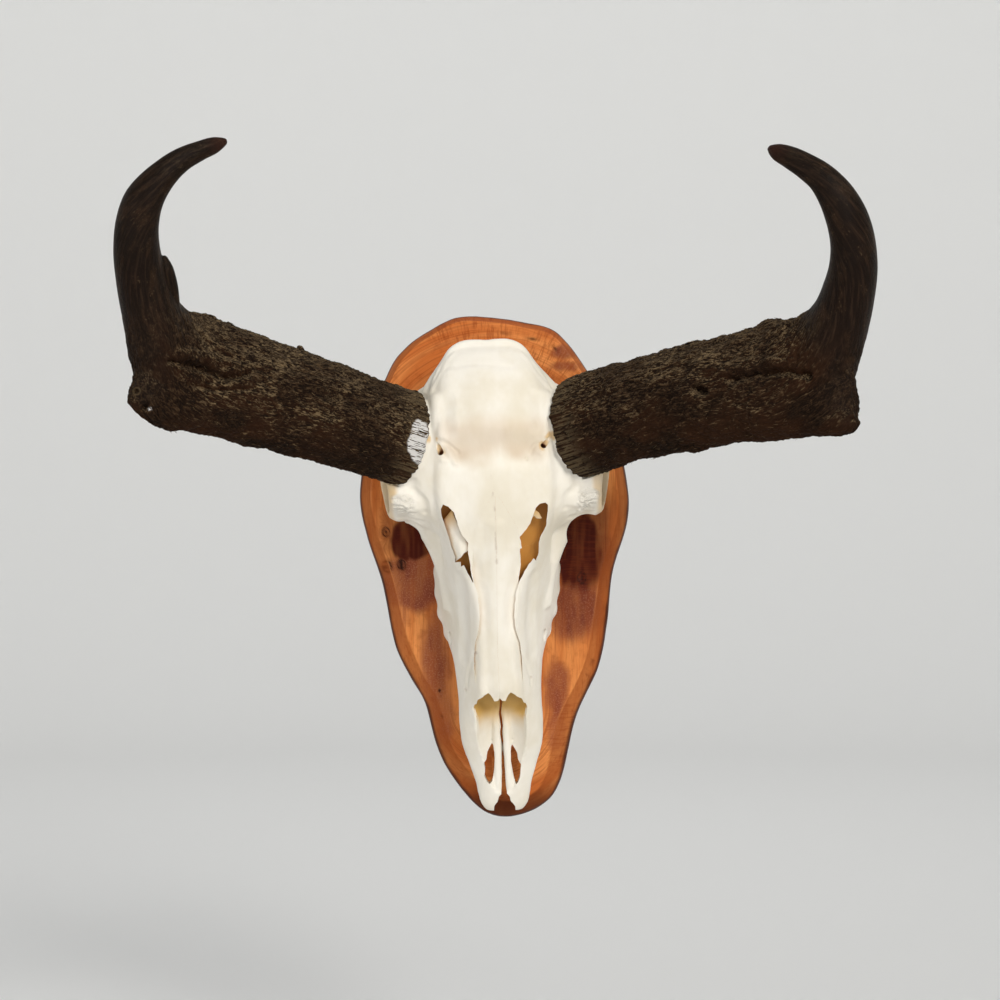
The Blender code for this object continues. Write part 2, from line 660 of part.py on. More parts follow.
def build_horn(side_name, stations, prong_stations, material):
    """Make one horn sheath and part it at its fork into shaft, prong and tine."""
    whole = tube("horn", stations, step=HORN_STEP, sides=HORN_SIDES)
    combine(whole, [tube("prong", prong_stations, step=HORN_STEP, sides=HORN_SIDES)], "UNION")
    fork, above = Vector(stations[6][:3]), Vector(stations[7][:3])
    tine_run = (above - fork).normalized()
    tine_root = fork.lerp(above, TINE_CUT_SHARE)
    prong_root, prong_tip = Vector(prong_stations[1][:3]), Vector(prong_stations[4][:3])
    prong_run = (prong_tip - prong_root).normalized()
    prong_cut = prong_root + prong_run * PRONG_CUT
    half = 0.5 * GAP
    tine = duplicate(whole, "horn_tine_" + side_name)
    combine(tine, [half_space("room", tine_root + tine_run * half, tine_run)], "INTERSECT")
    rest = duplicate(whole, "horn_shaft_" + side_name)
    combine(rest, [half_space("room", tine_root - tine_run * half, tine_run)], "DIFFERENCE")
    prong = duplicate(rest, "horn_prong_" + side_name)
    combine(prong, [half_space("room", prong_cut + prong_run * half, prong_run)], "INTERSECT")
    combine(rest, [half_space("room", prong_cut - prong_run * half, prong_run)], "DIFFERENCE")
    data = whole.data
    bpy.data.objects.remove(whole, do_unlink=True)
    bpy.data.meshes.remove(data)
    for piece in (rest, prong, tine):
        finish_node(piece, material)


def main():
    """Build the plaque, the skull's bones and the horns."""
    clear_scene()
    bone = make_material("bone", BONE_COLOUR, 0.5)
    horn = make_material("horn", HORN_COLOUR, 0.7)
    wood = make_material("wood", WOOD_COLOUR, 0.3)
    build_plaque(wood)
    skull = shape_skull()
    bones = part_bones(skull)
    data = skull.data
    bpy.data.objects.remove(skull, do_unlink=True)
    bpy.data.meshes.remove(data)
    settle_in_place(bones)
    combine(bones[0], [horn_room("left", LEFT_HORN), horn_room("right", RIGHT_HORN)], "DIFFERENCE")
    for node in bones:
        finish_node(node, bone)
    build_horn("left", LEFT_HORN, LEFT_PRONG, horn)
    build_horn("right", RIGHT_HORN, RIGHT_PRONG, horn)


main()
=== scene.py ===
"""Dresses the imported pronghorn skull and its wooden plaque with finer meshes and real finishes.

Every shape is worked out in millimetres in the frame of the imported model: +Z up the wall, -Y to
the viewer, origin at the middle of the plaque's back. Shapes of the skull are made upright, with
their height off the plaque's face along -Y, and then leant and stood off the wall together.
"""
import sys
import itertools
import logging
import math
from dataclasses import dataclass, field
from enum import Enum
from typing import Any, Iterable, Sequence

import bmesh
import bpy
import numpy as np
from mathutils import Matrix, Vector
from mathutils.bvhtree import BVHTree


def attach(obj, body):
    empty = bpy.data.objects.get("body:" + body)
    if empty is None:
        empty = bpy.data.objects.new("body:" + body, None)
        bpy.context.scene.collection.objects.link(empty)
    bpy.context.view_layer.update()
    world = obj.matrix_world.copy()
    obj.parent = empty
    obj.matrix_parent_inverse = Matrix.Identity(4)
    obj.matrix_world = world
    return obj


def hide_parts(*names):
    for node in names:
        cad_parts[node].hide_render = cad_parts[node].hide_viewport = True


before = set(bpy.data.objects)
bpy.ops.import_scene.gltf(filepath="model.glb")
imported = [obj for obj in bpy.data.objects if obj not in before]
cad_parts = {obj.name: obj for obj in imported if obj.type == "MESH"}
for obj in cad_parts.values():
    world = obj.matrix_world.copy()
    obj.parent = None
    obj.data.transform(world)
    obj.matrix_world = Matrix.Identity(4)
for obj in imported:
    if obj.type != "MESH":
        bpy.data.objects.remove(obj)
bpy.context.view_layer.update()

LOG = logging.getLogger("skull")

Array = np.ndarray
Point = Sequence[float]
Rows = Sequence[Sequence[float]]
Colour = tuple[float, float, float, float]

MM = 0.001
PLAQUE_THICKNESS = 25.0
STAND_OFF = PLAQUE_THICKNESS + 0.3
SKULL_LEAN = math.radians(1.7)
LEAN_PIVOT_Z = 55.0
FACE_BOW, FACE_BOW_Z, FACE_BOW_REACH = 1.3, -50.0, 45.0
CROWN_BEND, CROWN_LOW, CROWN_HIGH = 2.6, 95.0, 125.0
SHADE_ANGLE = math.radians(42)
FAR = 220.0
BACKWARDS = Vector((0.0, 1.0, 0.0))
# Turns heights off the wall into places along Y, and back
FLIP = np.array((1.0, -1.0, 1.0))


class Side(Enum):
    """A side of the head, as the viewer sees it."""

    LEFT = -1.0
    RIGHT = 1.0

    @property
    def word(self) -> str:
        """Return the side's name in small letters."""
        return self.name.lower()


class Joining(Enum):
    """What a Boolean does with a solid and its tools."""

    FUSE = "UNION"
    CUT = "DIFFERENCE"
    KEEP = "INTERSECT"


# Curves and noise

def unit(rows: Array) -> Array:
    """Return rows scaled to a length of 1."""
    return rows / np.linalg.norm(rows, axis=1)[:, None]


def lengths(rows: Array) -> Array:
    """Return how far along their line the rows lie."""
    spans = np.linalg.norm(np.diff(rows, axis=0), axis=1)
    return np.concatenate(([0.0], np.cumsum(spans)))


def resample(rows: Rows, step: float, columns: int = 3) -> Array:
    """Run a smooth curve through rows of numbers.

    Args:
        rows: The rows to pass through.
        step: Distance between the new rows, over the first columns.
        columns: How many leading columns are a place.

    Returns:
        The new rows, the first and last as given.
    """
    rows = np.array(rows, dtype=float)
    spans = np.linalg.norm(np.diff(rows[:, :columns], axis=0), axis=1)
    knots = np.concatenate(([0.0], np.cumsum(spans)))
    slopes = np.gradient(rows, knots, axis=0)
    places = np.linspace(0.0, knots[-1], max(2, int(round(knots[-1] / step)) + 1))
    index = np.clip(np.searchsorted(knots, places, side="right") - 1, 0, len(spans) - 1)
    length = spans[index][:, None]
    t = (places - knots[index])[:, None] / length
    result = rows[index] * (2 * t**3 - 3 * t**2 + 1) + rows[index + 1] * (3 * t**2 - 2 * t**3)
    result += slopes[index] * length * (t**3 - 2 * t**2 + t)
    return result + slopes[index + 1] * length * (t**3 - t**2)


def closed_curve(points: Rows, splits: int) -> Array:
    """Run a closed smooth curve through points.

    Args:
        points: The points to pass through, in order.
        splits: How many new points each stretch gets.

    Returns:
        The points of the curve.
    """
    points = np.array(points, dtype=float)
    before, after = np.roll(points, 1, axis=0), np.roll(points, -1, axis=0)
    beyond = np.roll(points, -2, axis=0)
    parts = []
    for t in np.arange(splits) / splits:
        curve = 2 * points + (after - before) * t
        curve += (2 * before - 5 * points + 4 * after - beyond) * t**2
        curve += (3 * points - before - 3 * after + beyond) * t**3
        parts.append(curve / 2)
    return np.stack(parts, axis=1).reshape(-1, points.shape[1])


def noise(points: Array, size: Sequence[float] | float, seed: int) -> Array:
    """Return smooth noise between -1 and 1.

    Args:
        points: Places, one a row.
        size: Size of a lump, one number or one for each axis.
        seed: Number that picks the pattern.

    Returns:
        One value for each place.
    """
    place = points / np.array(size, dtype=float) + 13.7 * seed
    cell = np.floor(place).astype(np.int64)
    part = place - cell
    part = part * part * part * (part * (part * 6 - 15) + 10)
    total = np.zeros(len(points))
    for corner in itertools.product((0, 1), repeat=3):
        lattice = cell + np.array(corner)
        mixed = lattice[:, 0] * 73856093 ^ lattice[:, 1] * 19349663 ^ lattice[:, 2] * 83492791
        mixed = (mixed ^ (seed * 2654435761)) & 0xFFFFFFFF
        mixed = ((mixed ^ (mixed >> 15)) * 2246822519) & 0xFFFFFFFF
        mixed = ((mixed ^ (mixed >> 13)) * 3266489917) & 0xFFFFFFFF
        value = (mixed ^ (mixed >> 16)) / 0x7FFFFFFF - 1.0
        total += value * np.prod(np.where(corner, part, 1.0 - part), axis=1)
    return total


def layered(points: Array, size: Sequence[float] | float, seed: int,
            layers: int = 3) -> Array:
    """Return noise with finer noise added to it.

    Args:
        points: Places, one a row.
        size: Size of the largest lumps.
        seed: Number that picks the pattern.
        layers: How many times the noise is added at half the size and strength.

    Returns:
        One value for each place, about -1 to 1.
    """
    size = np.array(size, dtype=float)
    total = sum(noise(points, size / 2**k, seed + k) / 2**k for k in range(layers))
    return total / (2 - 0.5**(layers - 1))


def rise(low: float, high: float, values: Array) -> Array:
    """Return 0 below low, 1 above high, and a smooth rise between them."""
    t = np.clip((values - low) / (high - low), 0.0, 1.0)
    return t * t * (3 - 2 * t)


def line_distance(points: Array, line: Array) -> Array:
    """Return each point's distance from a line of straight stretches.

    Args:
        points: Places, one a row.
        line: The line's corners, one a row.

    Returns:
        One distance for each point.
    """
    best = np.full(len(points), np.inf)
    for start, end in zip(line[:-1], line[1:]):
        run = end - start
        along = np.clip(((points - start) @ run) / max(run @ run, 1e-9), 0.0, 1.0)
        best = np.minimum(best, np.linalg.norm(points - start - along[:, None] * run, axis=1))
    return best


def nearest_line(points: Array, lines: Iterable[Rows]) -> Array:
    """Return each point's distance from the nearest of some lines of straight stretches."""
    return np.minimum.reduce([line_distance(points, np.array(line, float)) for line in lines])


def spot_distance(points: Array, x: Any, z: Any, wide: float = 1.0,
                  tall: float = 1.0) -> Array:
    """Return each point's distance from (x, z), seen from the front, over an oval's radii."""
    return np.hypot((points[:, 0] - x) / wide, (points[:, 2] - z) / tall)


def within(points: Array, outline: Rows) -> Array:
    """Return whether each point lies inside an outline.

    Args:
        points: Places (x, z), one a row.
        outline: The outline's corners (x, z), one a row.

    Returns:
        One truth value for each point.
    """
    crossed = np.zeros(len(points), dtype=bool)
    for (x, z), (end_x, end_z) in zip(outline, np.roll(outline, -1, axis=0)):
        share = (points[:, 1] - z) / ((end_z - z) or 1e-9)
        crossed ^= ((z > points[:, 1]) != (end_z > points[:, 1])) & (
            points[:, 0] < x + share * (end_x - x))
    return crossed


def ragged(points: Rows, depth: float, wave: float, seed: int, step: float = 0.7,
           closed: bool = False) -> Array:
    """Make an outline or a line of two columns wavy.

    Args:
        points: The line's corners.
        depth: How far it strays to each side.
        wave: Length of a wave.
        seed: Number that picks the pattern.
        step: Distance between the new points.
        closed: Whether it is an outline, which comes back to its first point.

    Returns:
        The new points, the first and last as given.
    """
    corners = np.array([*points, points[0]] if closed else points, dtype=float)
    knots = lengths(corners)
    places = np.linspace(0.0, knots[-1], int(knots[-1] / step) + 2)
    line = np.stack([np.interp(places, knots, corners[:, k]) for k in range(2)], axis=1)
    across = np.gradient(line, axis=0)[:, ::-1] * (-1.0, 1.0)
    across /= np.linalg.norm(across, axis=1)[:, None] + 1e-9
    where = np.stack((places, np.zeros_like(places), np.zeros_like(places)), axis=1)
    stray = layered(where, wave, seed, 2) * depth
    stray *= np.minimum(1.0, np.minimum(places, places[-1] - places) / wave)
    line += across * stray[:, None]
    return line[:-1] if closed else line


# Solids

def show(name: str, data: Any) -> bpy.types.Object:
    """Make an object for a mesh, a light or a camera, and link it into the scene.

    Args:
        name: The object's name.
        data: The mesh, light or camera.

    Returns:
        The object.
    """
    made = bpy.data.objects.new(name, data)
    bpy.context.scene.collection.objects.link(made)
    return made


def read(items: Any, entry: str, width: int, kind: type = np.float32) -> Array:
    """Read one entry of all of a mesh's points, edges, corners or faces.

    Args:
        items: The mesh's items.
        entry: The entry's name.
        width: How many numbers it holds.
        kind: The numbers' type.

    Returns:
        The entries, one a row.
    """
    flat = np.empty(len(items) * width, kind)
    items.foreach_get(entry, flat)
    return flat.reshape(-1, width)


class Solid:
    """A closed mesh that is joined, cut, carved and then finished as a piece."""

    def __init__(self, name: str, data: bpy.types.Mesh) -> None:
        """Keep a mesh under a name, in the scene."""
        self.obj = show(name, data)

    @classmethod
    def skin(cls, name: str, rings: Iterable[Rows]) -> "Solid":
        """Close a skin over rings of points.

        Args:
            name: The solid's name.
            rings: Rings of points (x, height off the wall, z), all with as many points.

        Returns:
            The solid, its faces outwards.
        """
        rings = np.array([np.array(ring, dtype=float) for ring in rings])
        count, around = rings.shape[:2]
        points = rings.reshape(-1, 3)
        points = np.concatenate((points, rings[0].mean(axis=0)[None], rings[-1].mean(axis=0)[None]))
        points = points * FLIP
        index = np.arange(around)
        after = np.roll(index, -1)
        faces = []
        for level in range(count - 1):
            low, high = level * around, (level + 1) * around
            faces += np.stack((low + index, low + after, high + after, high + index), 1).tolist()
        hub = count * around
        last = (count - 1) * around
        faces += [[a, b, hub] for a, b in zip(after.tolist(), index.tolist())]
        faces += [[last + a, last + b, hub + 1] for a, b in zip(index.tolist(), after.tolist())]
        data = bpy.data.meshes.new(name)
        data.from_pydata(points.tolist(), [], faces)
        mesh = bmesh.new()
        mesh.from_mesh(data)
        bmesh.ops.recalc_face_normals(mesh, faces=mesh.faces)
        mesh.to_mesh(data)
        mesh.free()
        return cls(name, data)

    @classmethod
    def tube(cls, name: str, stations: Rows, step: float = 3.0, sides: int = 28,
             flat: Point = (0.0, 0.0, 1.0)) -> "Solid":
        """Make a tube of oval section.

        Args:
            name: The solid's name.
            stations: Rows of (x, height, z, half width, half thickness).
            step: Distance between its rings.
            sides: Points in a ring.
            flat: Direction that the half width lies along, as far as the tube's run allows.

        Returns:
            The solid.
        """
        rows = resample(stations, step)
        centres, wide, thin = tube_frames(rows, flat)
        turn = np.linspace(0.0, math.tau, sides, endpoint=False)
        rings = (centres[:, None] + wide[:, None] * (rows[:, 3:4] * np.cos(turn))[..., None]
                 + thin[:, None] * (rows[:, 4:5] * np.sin(turn))[..., None])
        return cls.skin(name, rings)

    @classmethod
    def rod(cls, name: str, stations: Rows, side: float = 1.0, sides: int = 24) -> "Solid":
        """Make a round or oval rod on one side; a station without a thickness is round."""
        rows = [(side * s[0], s[1], s[2], s[3], s[-1]) for s in stations]
        return cls.tube(name, rows, 2.5, sides)

    @classmethod
    def ball(cls, name: str, centre: Point, radii: Point) -> "Solid":
        """Make an ellipsoid.

        Args:
            name: The solid's name.
            centre: Its middle, as (x, height, z).
            radii: Its radii along the same axes.

        Returns:
            The solid.
        """
        turn = np.linspace(-0.5 * math.pi, 0.5 * math.pi, 17)[1:-1, None]
        angle = np.linspace(0.0, math.tau, 25)[None, :-1]
        rings = np.stack((centre[0] + radii[0] * np.cos(turn) * np.cos(angle),
                          centre[1] + radii[1] * np.cos(turn) * np.sin(angle),
                          centre[2] + radii[2] * np.sin(turn) * np.ones_like(angle)), axis=2)
        return cls.skin(name, rings)

    @classmethod
    def prism(cls, name: str, outline: Rows, low: float, high: float) -> "Solid":
        """Make an upright prism over an outline of (x, z), between two heights."""
        return cls.skin(name, [[(x, height, z) for x, z in outline] for height in (low, high)])

    @classmethod
    def box(cls, name: str, point: Point, run: Point) -> "Solid":
        """Make a big box that begins at a plane.

        Args:
            name: The solid's name.
            point: A point of the plane.
            run: The plane's direction, towards the side that the box fills.

        Returns:
            The solid.
        """
        run = Vector(run).normalized()
        across = run.orthogonal().normalized()
        other = run.cross(across)
        corners = ((-FAR, -FAR), (FAR, -FAR), (FAR, FAR), (-FAR, FAR))
        return cls.skin(name, [[Vector(point) + across * a + other * b + run * far
                                for a, b in corners] for far in (0.0, 2 * FAR)])

    @property
    def points(self) -> Array:
        """The mesh's points, one a row."""
        return read(self.obj.data.vertices, "co", 3).astype(float)

    @points.setter
    def points(self, places: Array) -> None:
        """Move the mesh's points."""
        self.obj.data.vertices.foreach_set("co", places.astype(np.float32).ravel())
        self.obj.data.update()

    @property
    def normals(self) -> Array:
        """The directions that the mesh's points face, one a row."""
        return read(self.obj.data.vertex_normals, "vector", 3).astype(float)

    @property
    def tree(self) -> BVHTree:
        """The mesh's faces, sorted for quick search."""
        return BVHTree.FromObject(self.obj, bpy.context.evaluated_depsgraph_get())

    def push(self, amounts: Array) -> None:
        """Move each point along its own normal."""
        self.points = self.points + self.normals * amounts[:, None]

    def copy(self, name: str) -> "Solid":
        """Return a copy with a mesh of its own."""
        return Solid(name, self.obj.data.copy())

    def drop(self) -> None:
        """Remove the solid from the scene."""
        data = self.obj.data
        bpy.data.objects.remove(self.obj, do_unlink=True)
        bpy.data.meshes.remove(data)

    def bake(self) -> None:
        """Replace the mesh by the mesh that the modifiers make."""
        graph = bpy.context.evaluated_depsgraph_get()
        data = bpy.data.meshes.new_from_object(self.obj.evaluated_get(graph))
        self.obj.modifiers.clear()
        old = self.obj.data
        self.obj.data = data
        bpy.data.meshes.remove(old)

    def change(self, kind: str, **settings: Any) -> "Solid":
        """Apply one modifier.

        Args:
            kind: The modifier's type.
            **settings: Its settings.

        Returns:
            The solid itself.
        """
        modifier = self.obj.modifiers.new("Change", kind)
        for name, value in settings.items():
            setattr(modifier, name, value)
        self.bake()
        return self

    def combine(self, others: Sequence["Solid"], how: Joining) -> "Solid":
        """Join other solids to this one, cut them out, or keep what they share.

        Args:
            others: The tools, which are used up.
            how: What to do with them.

        Returns:
            The solid itself.
        """
        tools = bpy.data.collections.new("tools")
        bpy.context.scene.collection.children.link(tools)
        for other in others:
            tools.objects.link(other.obj)
        before = len(self.obj.data.vertices)
        self.change("BOOLEAN", operation=how.value, solver="MANIFOLD",
                    operand_type="COLLECTION", collection=tools)
        if len(self.obj.data.vertices) == before:
            LOG.warning("%s: the solver changed nothing", self.obj.name)
        for other in others:
            other.drop()
        bpy.data.collections.remove(tools)
        return self

    def fuse(self, voxel: float, smoothing: int) -> "Solid":
        """Rebuild the surface evenly and soften its creases."""
        self.change("REMESH", mode="VOXEL", voxel_size=voxel)
        return self.change("SMOOTH", factor=0.5, iterations=smoothing)

    def keep_largest(self) -> "Solid":
        """Keep only the largest connected surface, by its number of points.

        Returns:
            The solid itself.
        """
        data = self.obj.data
        edges = read(data.edges, "vertices", 2, np.int32)
        label = np.arange(len(data.vertices))
        before = None
        while not np.array_equal(before, label):
            lowest = np.minimum(label[edges[:, 0]], label[edges[:, 1]])
            before = label.copy()
            np.minimum.at(label, edges[:, 0], lowest)
            np.minimum.at(label, edges[:, 1], lowest)
            label = label[label]
        values, counts = np.unique(label, return_counts=True)
        if len(values) > 1:
            scraps = np.flatnonzero(label != values[counts.argmax()])
            mesh = bmesh.new()
            mesh.from_mesh(data)
            mesh.verts.ensure_lookup_table()
            bmesh.ops.delete(mesh, geom=[mesh.verts[k] for k in scraps], context="VERTS")
            mesh.to_mesh(data)
            mesh.free()
        return self

    def paint(self, name: str, values: Array) -> None:
        """Keep one value, a vector or a colour for each point or face corner of the mesh.

        Args:
            name: The attribute's name.
            values: One number, or three or four numbers, for each point or corner.
        """
        values = np.asarray(values, dtype=np.float32)
        wide = 1 if values.ndim == 1 else values.shape[1]
        kind, entry = {1: ("FLOAT", "value"), 3: ("FLOAT_VECTOR", "vector"),
                       4: ("FLOAT_COLOR", "color")}[wide]
        old = self.obj.data.attributes.get(name)
        if old:
            self.obj.data.attributes.remove(old)
        domain = "POINT" if len(values) == len(self.obj.data.vertices) else "CORNER"
        layer = self.obj.data.attributes.new(name, kind, domain)
        layer.data.foreach_set(entry, values.ravel())

    def piece(self, material: bpy.types.Material, slot: str,
              nodes: Sequence[str]) -> bpy.types.Object:
        """Turn the solid into a finished piece of the model, in metres.

        Args:
            material: What it is made of.
            slot: The name of a material slot; not used.
            nodes: The CAD nodes that it stands for.

        Returns:
            The finished object.
        """
        data = self.obj.data
        data.transform(Matrix.Scale(MM, 4))
        data.materials.clear()
        data.materials.append(material)
        data.shade_smooth()
        data.set_sharp_from_angle(angle=SHADE_ANGLE)
        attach(self.obj, "root")
        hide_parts(*nodes)
        faces = sum(len(face.vertices) - 2 for face in data.polygons)
        LOG.info("%s: %d triangles, in place of %s", self.obj.name, faces, ", ".join(nodes))
        return self.obj


def tube_frames(rows: Array, flat: Point) -> tuple[Array, Array, Array]:
    """Return the centres of a tube's rings and the two directions across each.

    Args:
        rows: Rows that begin with a place.
        flat: Direction that the first one lies along, as far as the run allows.

    Returns:
        The centres, the wide directions and the thin directions.
    """
    centres = rows[:, :3]
    runs = unit(np.gradient(centres, axis=0))
    along = np.array(flat, dtype=float)
    if np.abs(runs @ along).max() > 0.999:
        along = np.roll(along, 1)
    wide = unit(along - runs * (runs @ along)[:, None])
    return centres, wide, np.cross(runs, wide)


# Finishes

class Graph:
    """A tree of nodes under construction."""

    def __init__(self, tree: bpy.types.NodeTree) -> None:
        """Keep the tree."""
        self.tree = tree

    def wire(self, node: Any, inputs: dict[Any, Any]) -> None:
        """Give a node's sockets their values.

        Args:
            node: The node.
            inputs: What each socket holds: a value, or another node's socket to link.
        """
        for name, value in inputs.items():
            if isinstance(value, bpy.types.NodeSocket):
                self.tree.links.new(value, node.inputs[name])
            else:
                node.inputs[name].default_value = value

    def add(self, kind: str, inputs: dict[Any, Any] | None = None, **settings: Any) -> Any:
        """Add one node.

        Args:
            kind: The node's type.
            inputs: What each socket holds: a value, or another node's socket.
            **settings: The node's own settings.

        Returns:
            The node.
        """
        node = self.tree.nodes.new(kind)
        for name, value in settings.items():
            setattr(node, name, value)
        self.wire(node, inputs or {})
        return node

    def math(self, operation: str, *values: Any, clamp: bool = False) -> Any:
        """Return the result of arithmetic on one to three values or sockets."""
        return self.add("ShaderNodeMath", dict(enumerate(values)), operation=operation,
                        use_clamp=clamp).outputs[0]

    def times(self, first: Any, second: Any) -> Any:
        """Return the product of two values or sockets."""
        return self.math("MULTIPLY", first, second)

    def plus(self, first: Any, second: Any, clamp: bool = False) -> Any:
        """Return the sum of two values or sockets."""
        return self.math("ADD", first, second, clamp=clamp)

    def minus(self, first: Any, second: Any) -> Any:
        """Return the difference of two values or sockets."""
        return self.math("SUBTRACT", first, second)

    def vector(self, operation: str, first: Any, second: Any) -> Any:
        """Do arithmetic on vectors.

        Args:
            operation: The arithmetic.
            first: A vector or its socket.
            second: The other vector, or the number that scales the first one.

        Returns:
            The socket of the result.
        """
        other = "Scale" if operation == "SCALE" else 1
        node = self.add("ShaderNodeVectorMath", {0: first, other: second}, operation=operation)
        return node.outputs["Value" if operation == "DOT_PRODUCT" else 0]

    def range(self, value: Any, low: float, high: float, to_low: float = 0.0,
              to_high: float = 1.0) -> Any:
        """Return a value smoothly mapped from one range to another and held inside it."""
        return self.add("ShaderNodeMapRange", {0: value, 1: low, 2: high, 3: to_low, 4: to_high},
                        interpolation_type="SMOOTHSTEP").outputs[0]

    def layers(self, base: Any, *coats: tuple[Any, Any]) -> Any:
        """Lay colours over a colour.

        Args:
            base: The lowest colour, or its socket.
            *coats: How much of each further colour shows, and that colour.

        Returns:
            The socket of the mixed colour.
        """
        for share, tone in coats:
            base = self.add("ShaderNodeMix", {0: share, 6: base, 7: tone},
                            data_type="RGBA").outputs[2]
        return base

    def attribute(self, name: str) -> Any:
        """Return the sockets of the node that reads one of the mesh's attributes."""
        return self.add("ShaderNodeAttribute", attribute_name=name).outputs

    def channels(self, name: str) -> tuple[Any, Any, Any, Any]:
        """Read one of the mesh's colours.

        Args:
            name: The attribute's name.

        Returns:
            The sockets of its red, green, blue and alpha.
        """
        stored = self.attribute(name)
        parts = self.add("ShaderNodeSeparateColor", {0: stored["Color"]}).outputs
        return parts[0], parts[1], parts[2], stored["Alpha"]

    def noise(self, place: Any, scale: float, detail: float = 3.0, stretch: Any = 1.0,
              roughness: float = 0.5, warp: float = 0.0) -> Any:
        """Return noise from 0 to 1 at a place.

        Args:
            place: The socket of the place.
            scale: How many lumps there are to a unit of the place.
            detail: How many finer layers are added.
            stretch: Factors on the place's axes, or on the last; a small one draws the lumps out.
            roughness: How strong the finer layers are.
            warp: How much the pattern is distorted.

        Returns:
            The socket of the noise.
        """
        factors = stretch if isinstance(stretch, tuple) else (1.0, 1.0, stretch)
        placed = self.add("ShaderNodeMapping", {"Vector": place, "Scale": factors})
        return self.add("ShaderNodeTexNoise", {"Vector": placed.outputs[0], "Scale": scale,
                                               "Detail": detail, "Roughness": roughness,
                                               "Distortion": warp}).outputs[0]

    def bumps(self, *heights: tuple[Any, float, float]) -> Any:
        """Roughen the surface.

        Args:
            *heights: The socket of each height pattern, its depth and its strength.

        Returns:
            The socket of the normal.
        """
        normal = None
        for height, distance, strength in heights:
            inputs = {"Height": height, "Distance": distance, "Strength": strength}
            if normal is not None:
                inputs["Normal"] = normal
            normal = self.add("ShaderNodeBump", inputs).outputs[0]
        return normal


def new_material(name: str) -> tuple[bpy.types.Material, Graph, Any]:
    """Return a material, its graph and its shader node.

    Args:
        name: The material's name.

    Returns:
        The material, the graph and the Principled shader.
    """
    material = bpy.data.materials.new(name)
    material.use_nodes = True
    return material, Graph(material.node_tree), material.node_tree.nodes["Principled BSDF"]


@dataclass(frozen=True)
class BoneFinish:
    """Whitened bone: cream, warmer in its hollows, partly as painted shade, amber inside, matt with
    a faint sheen.
    """

    pale: Colour = (0.87, 0.82, 0.73, 1.0)
    deep: Colour = (0.77, 0.70, 0.57, 1.0)
    tan: Colour = (0.70, 0.43, 0.125, 1.0)
    amber: Colour = (0.61, 0.27, 0.045, 1.0)
    dark: Colour = (0.22, 0.075, 0.03, 1.0)
    roughness: float = 0.5
    shine: float = 0.35

    def material(self) -> bpy.types.Material:
        """Build the material.

        The attribute stain holds how tan, amber and dark each point is, some tan and dark being
        painted shade, and in its alpha how smooth it is.

        Returns:
            The material.
        """
        material, graph, shader = new_material("whitened_bone")
        place = graph.add("ShaderNodeTexCoord").outputs["Object"]
        tan, amber, dark, smooth = graph.channels("stain")
        cloud = graph.noise(place, 28.0, 4.0, 0.6, 0.6)
        streak = graph.noise(place, 170.0, 3.0, (1.0, 0.6, 0.12))
        colour = graph.layers(self.pale, (graph.range(cloud, 0.35, 0.68), self.deep),
                              (graph.range(streak, 0.5, 0.85, 0.0, 0.22), self.deep),
                              (tan, self.tan), (amber, self.amber), (dark, self.dark))
        pores = graph.noise(place, 900.0, 2.0, 0.35)
        coarse = graph.noise(place, 240.0, 3.0, 0.5)
        knotty = graph.noise(place, 620.0, 3.0, 1.5, 0.6)
        rugose = graph.times(graph.minus(1.0, smooth), knotty)
        normal = graph.bumps((pores, 0.00012, 0.35), (coarse, 0.0004, 0.25), (rugose, 0.0016, 1.0))
        graph.wire(shader, {"Base Color": colour, "Normal": normal, "Roughness": self.roughness,
                            "Specular IOR Level": self.shine})
        return material


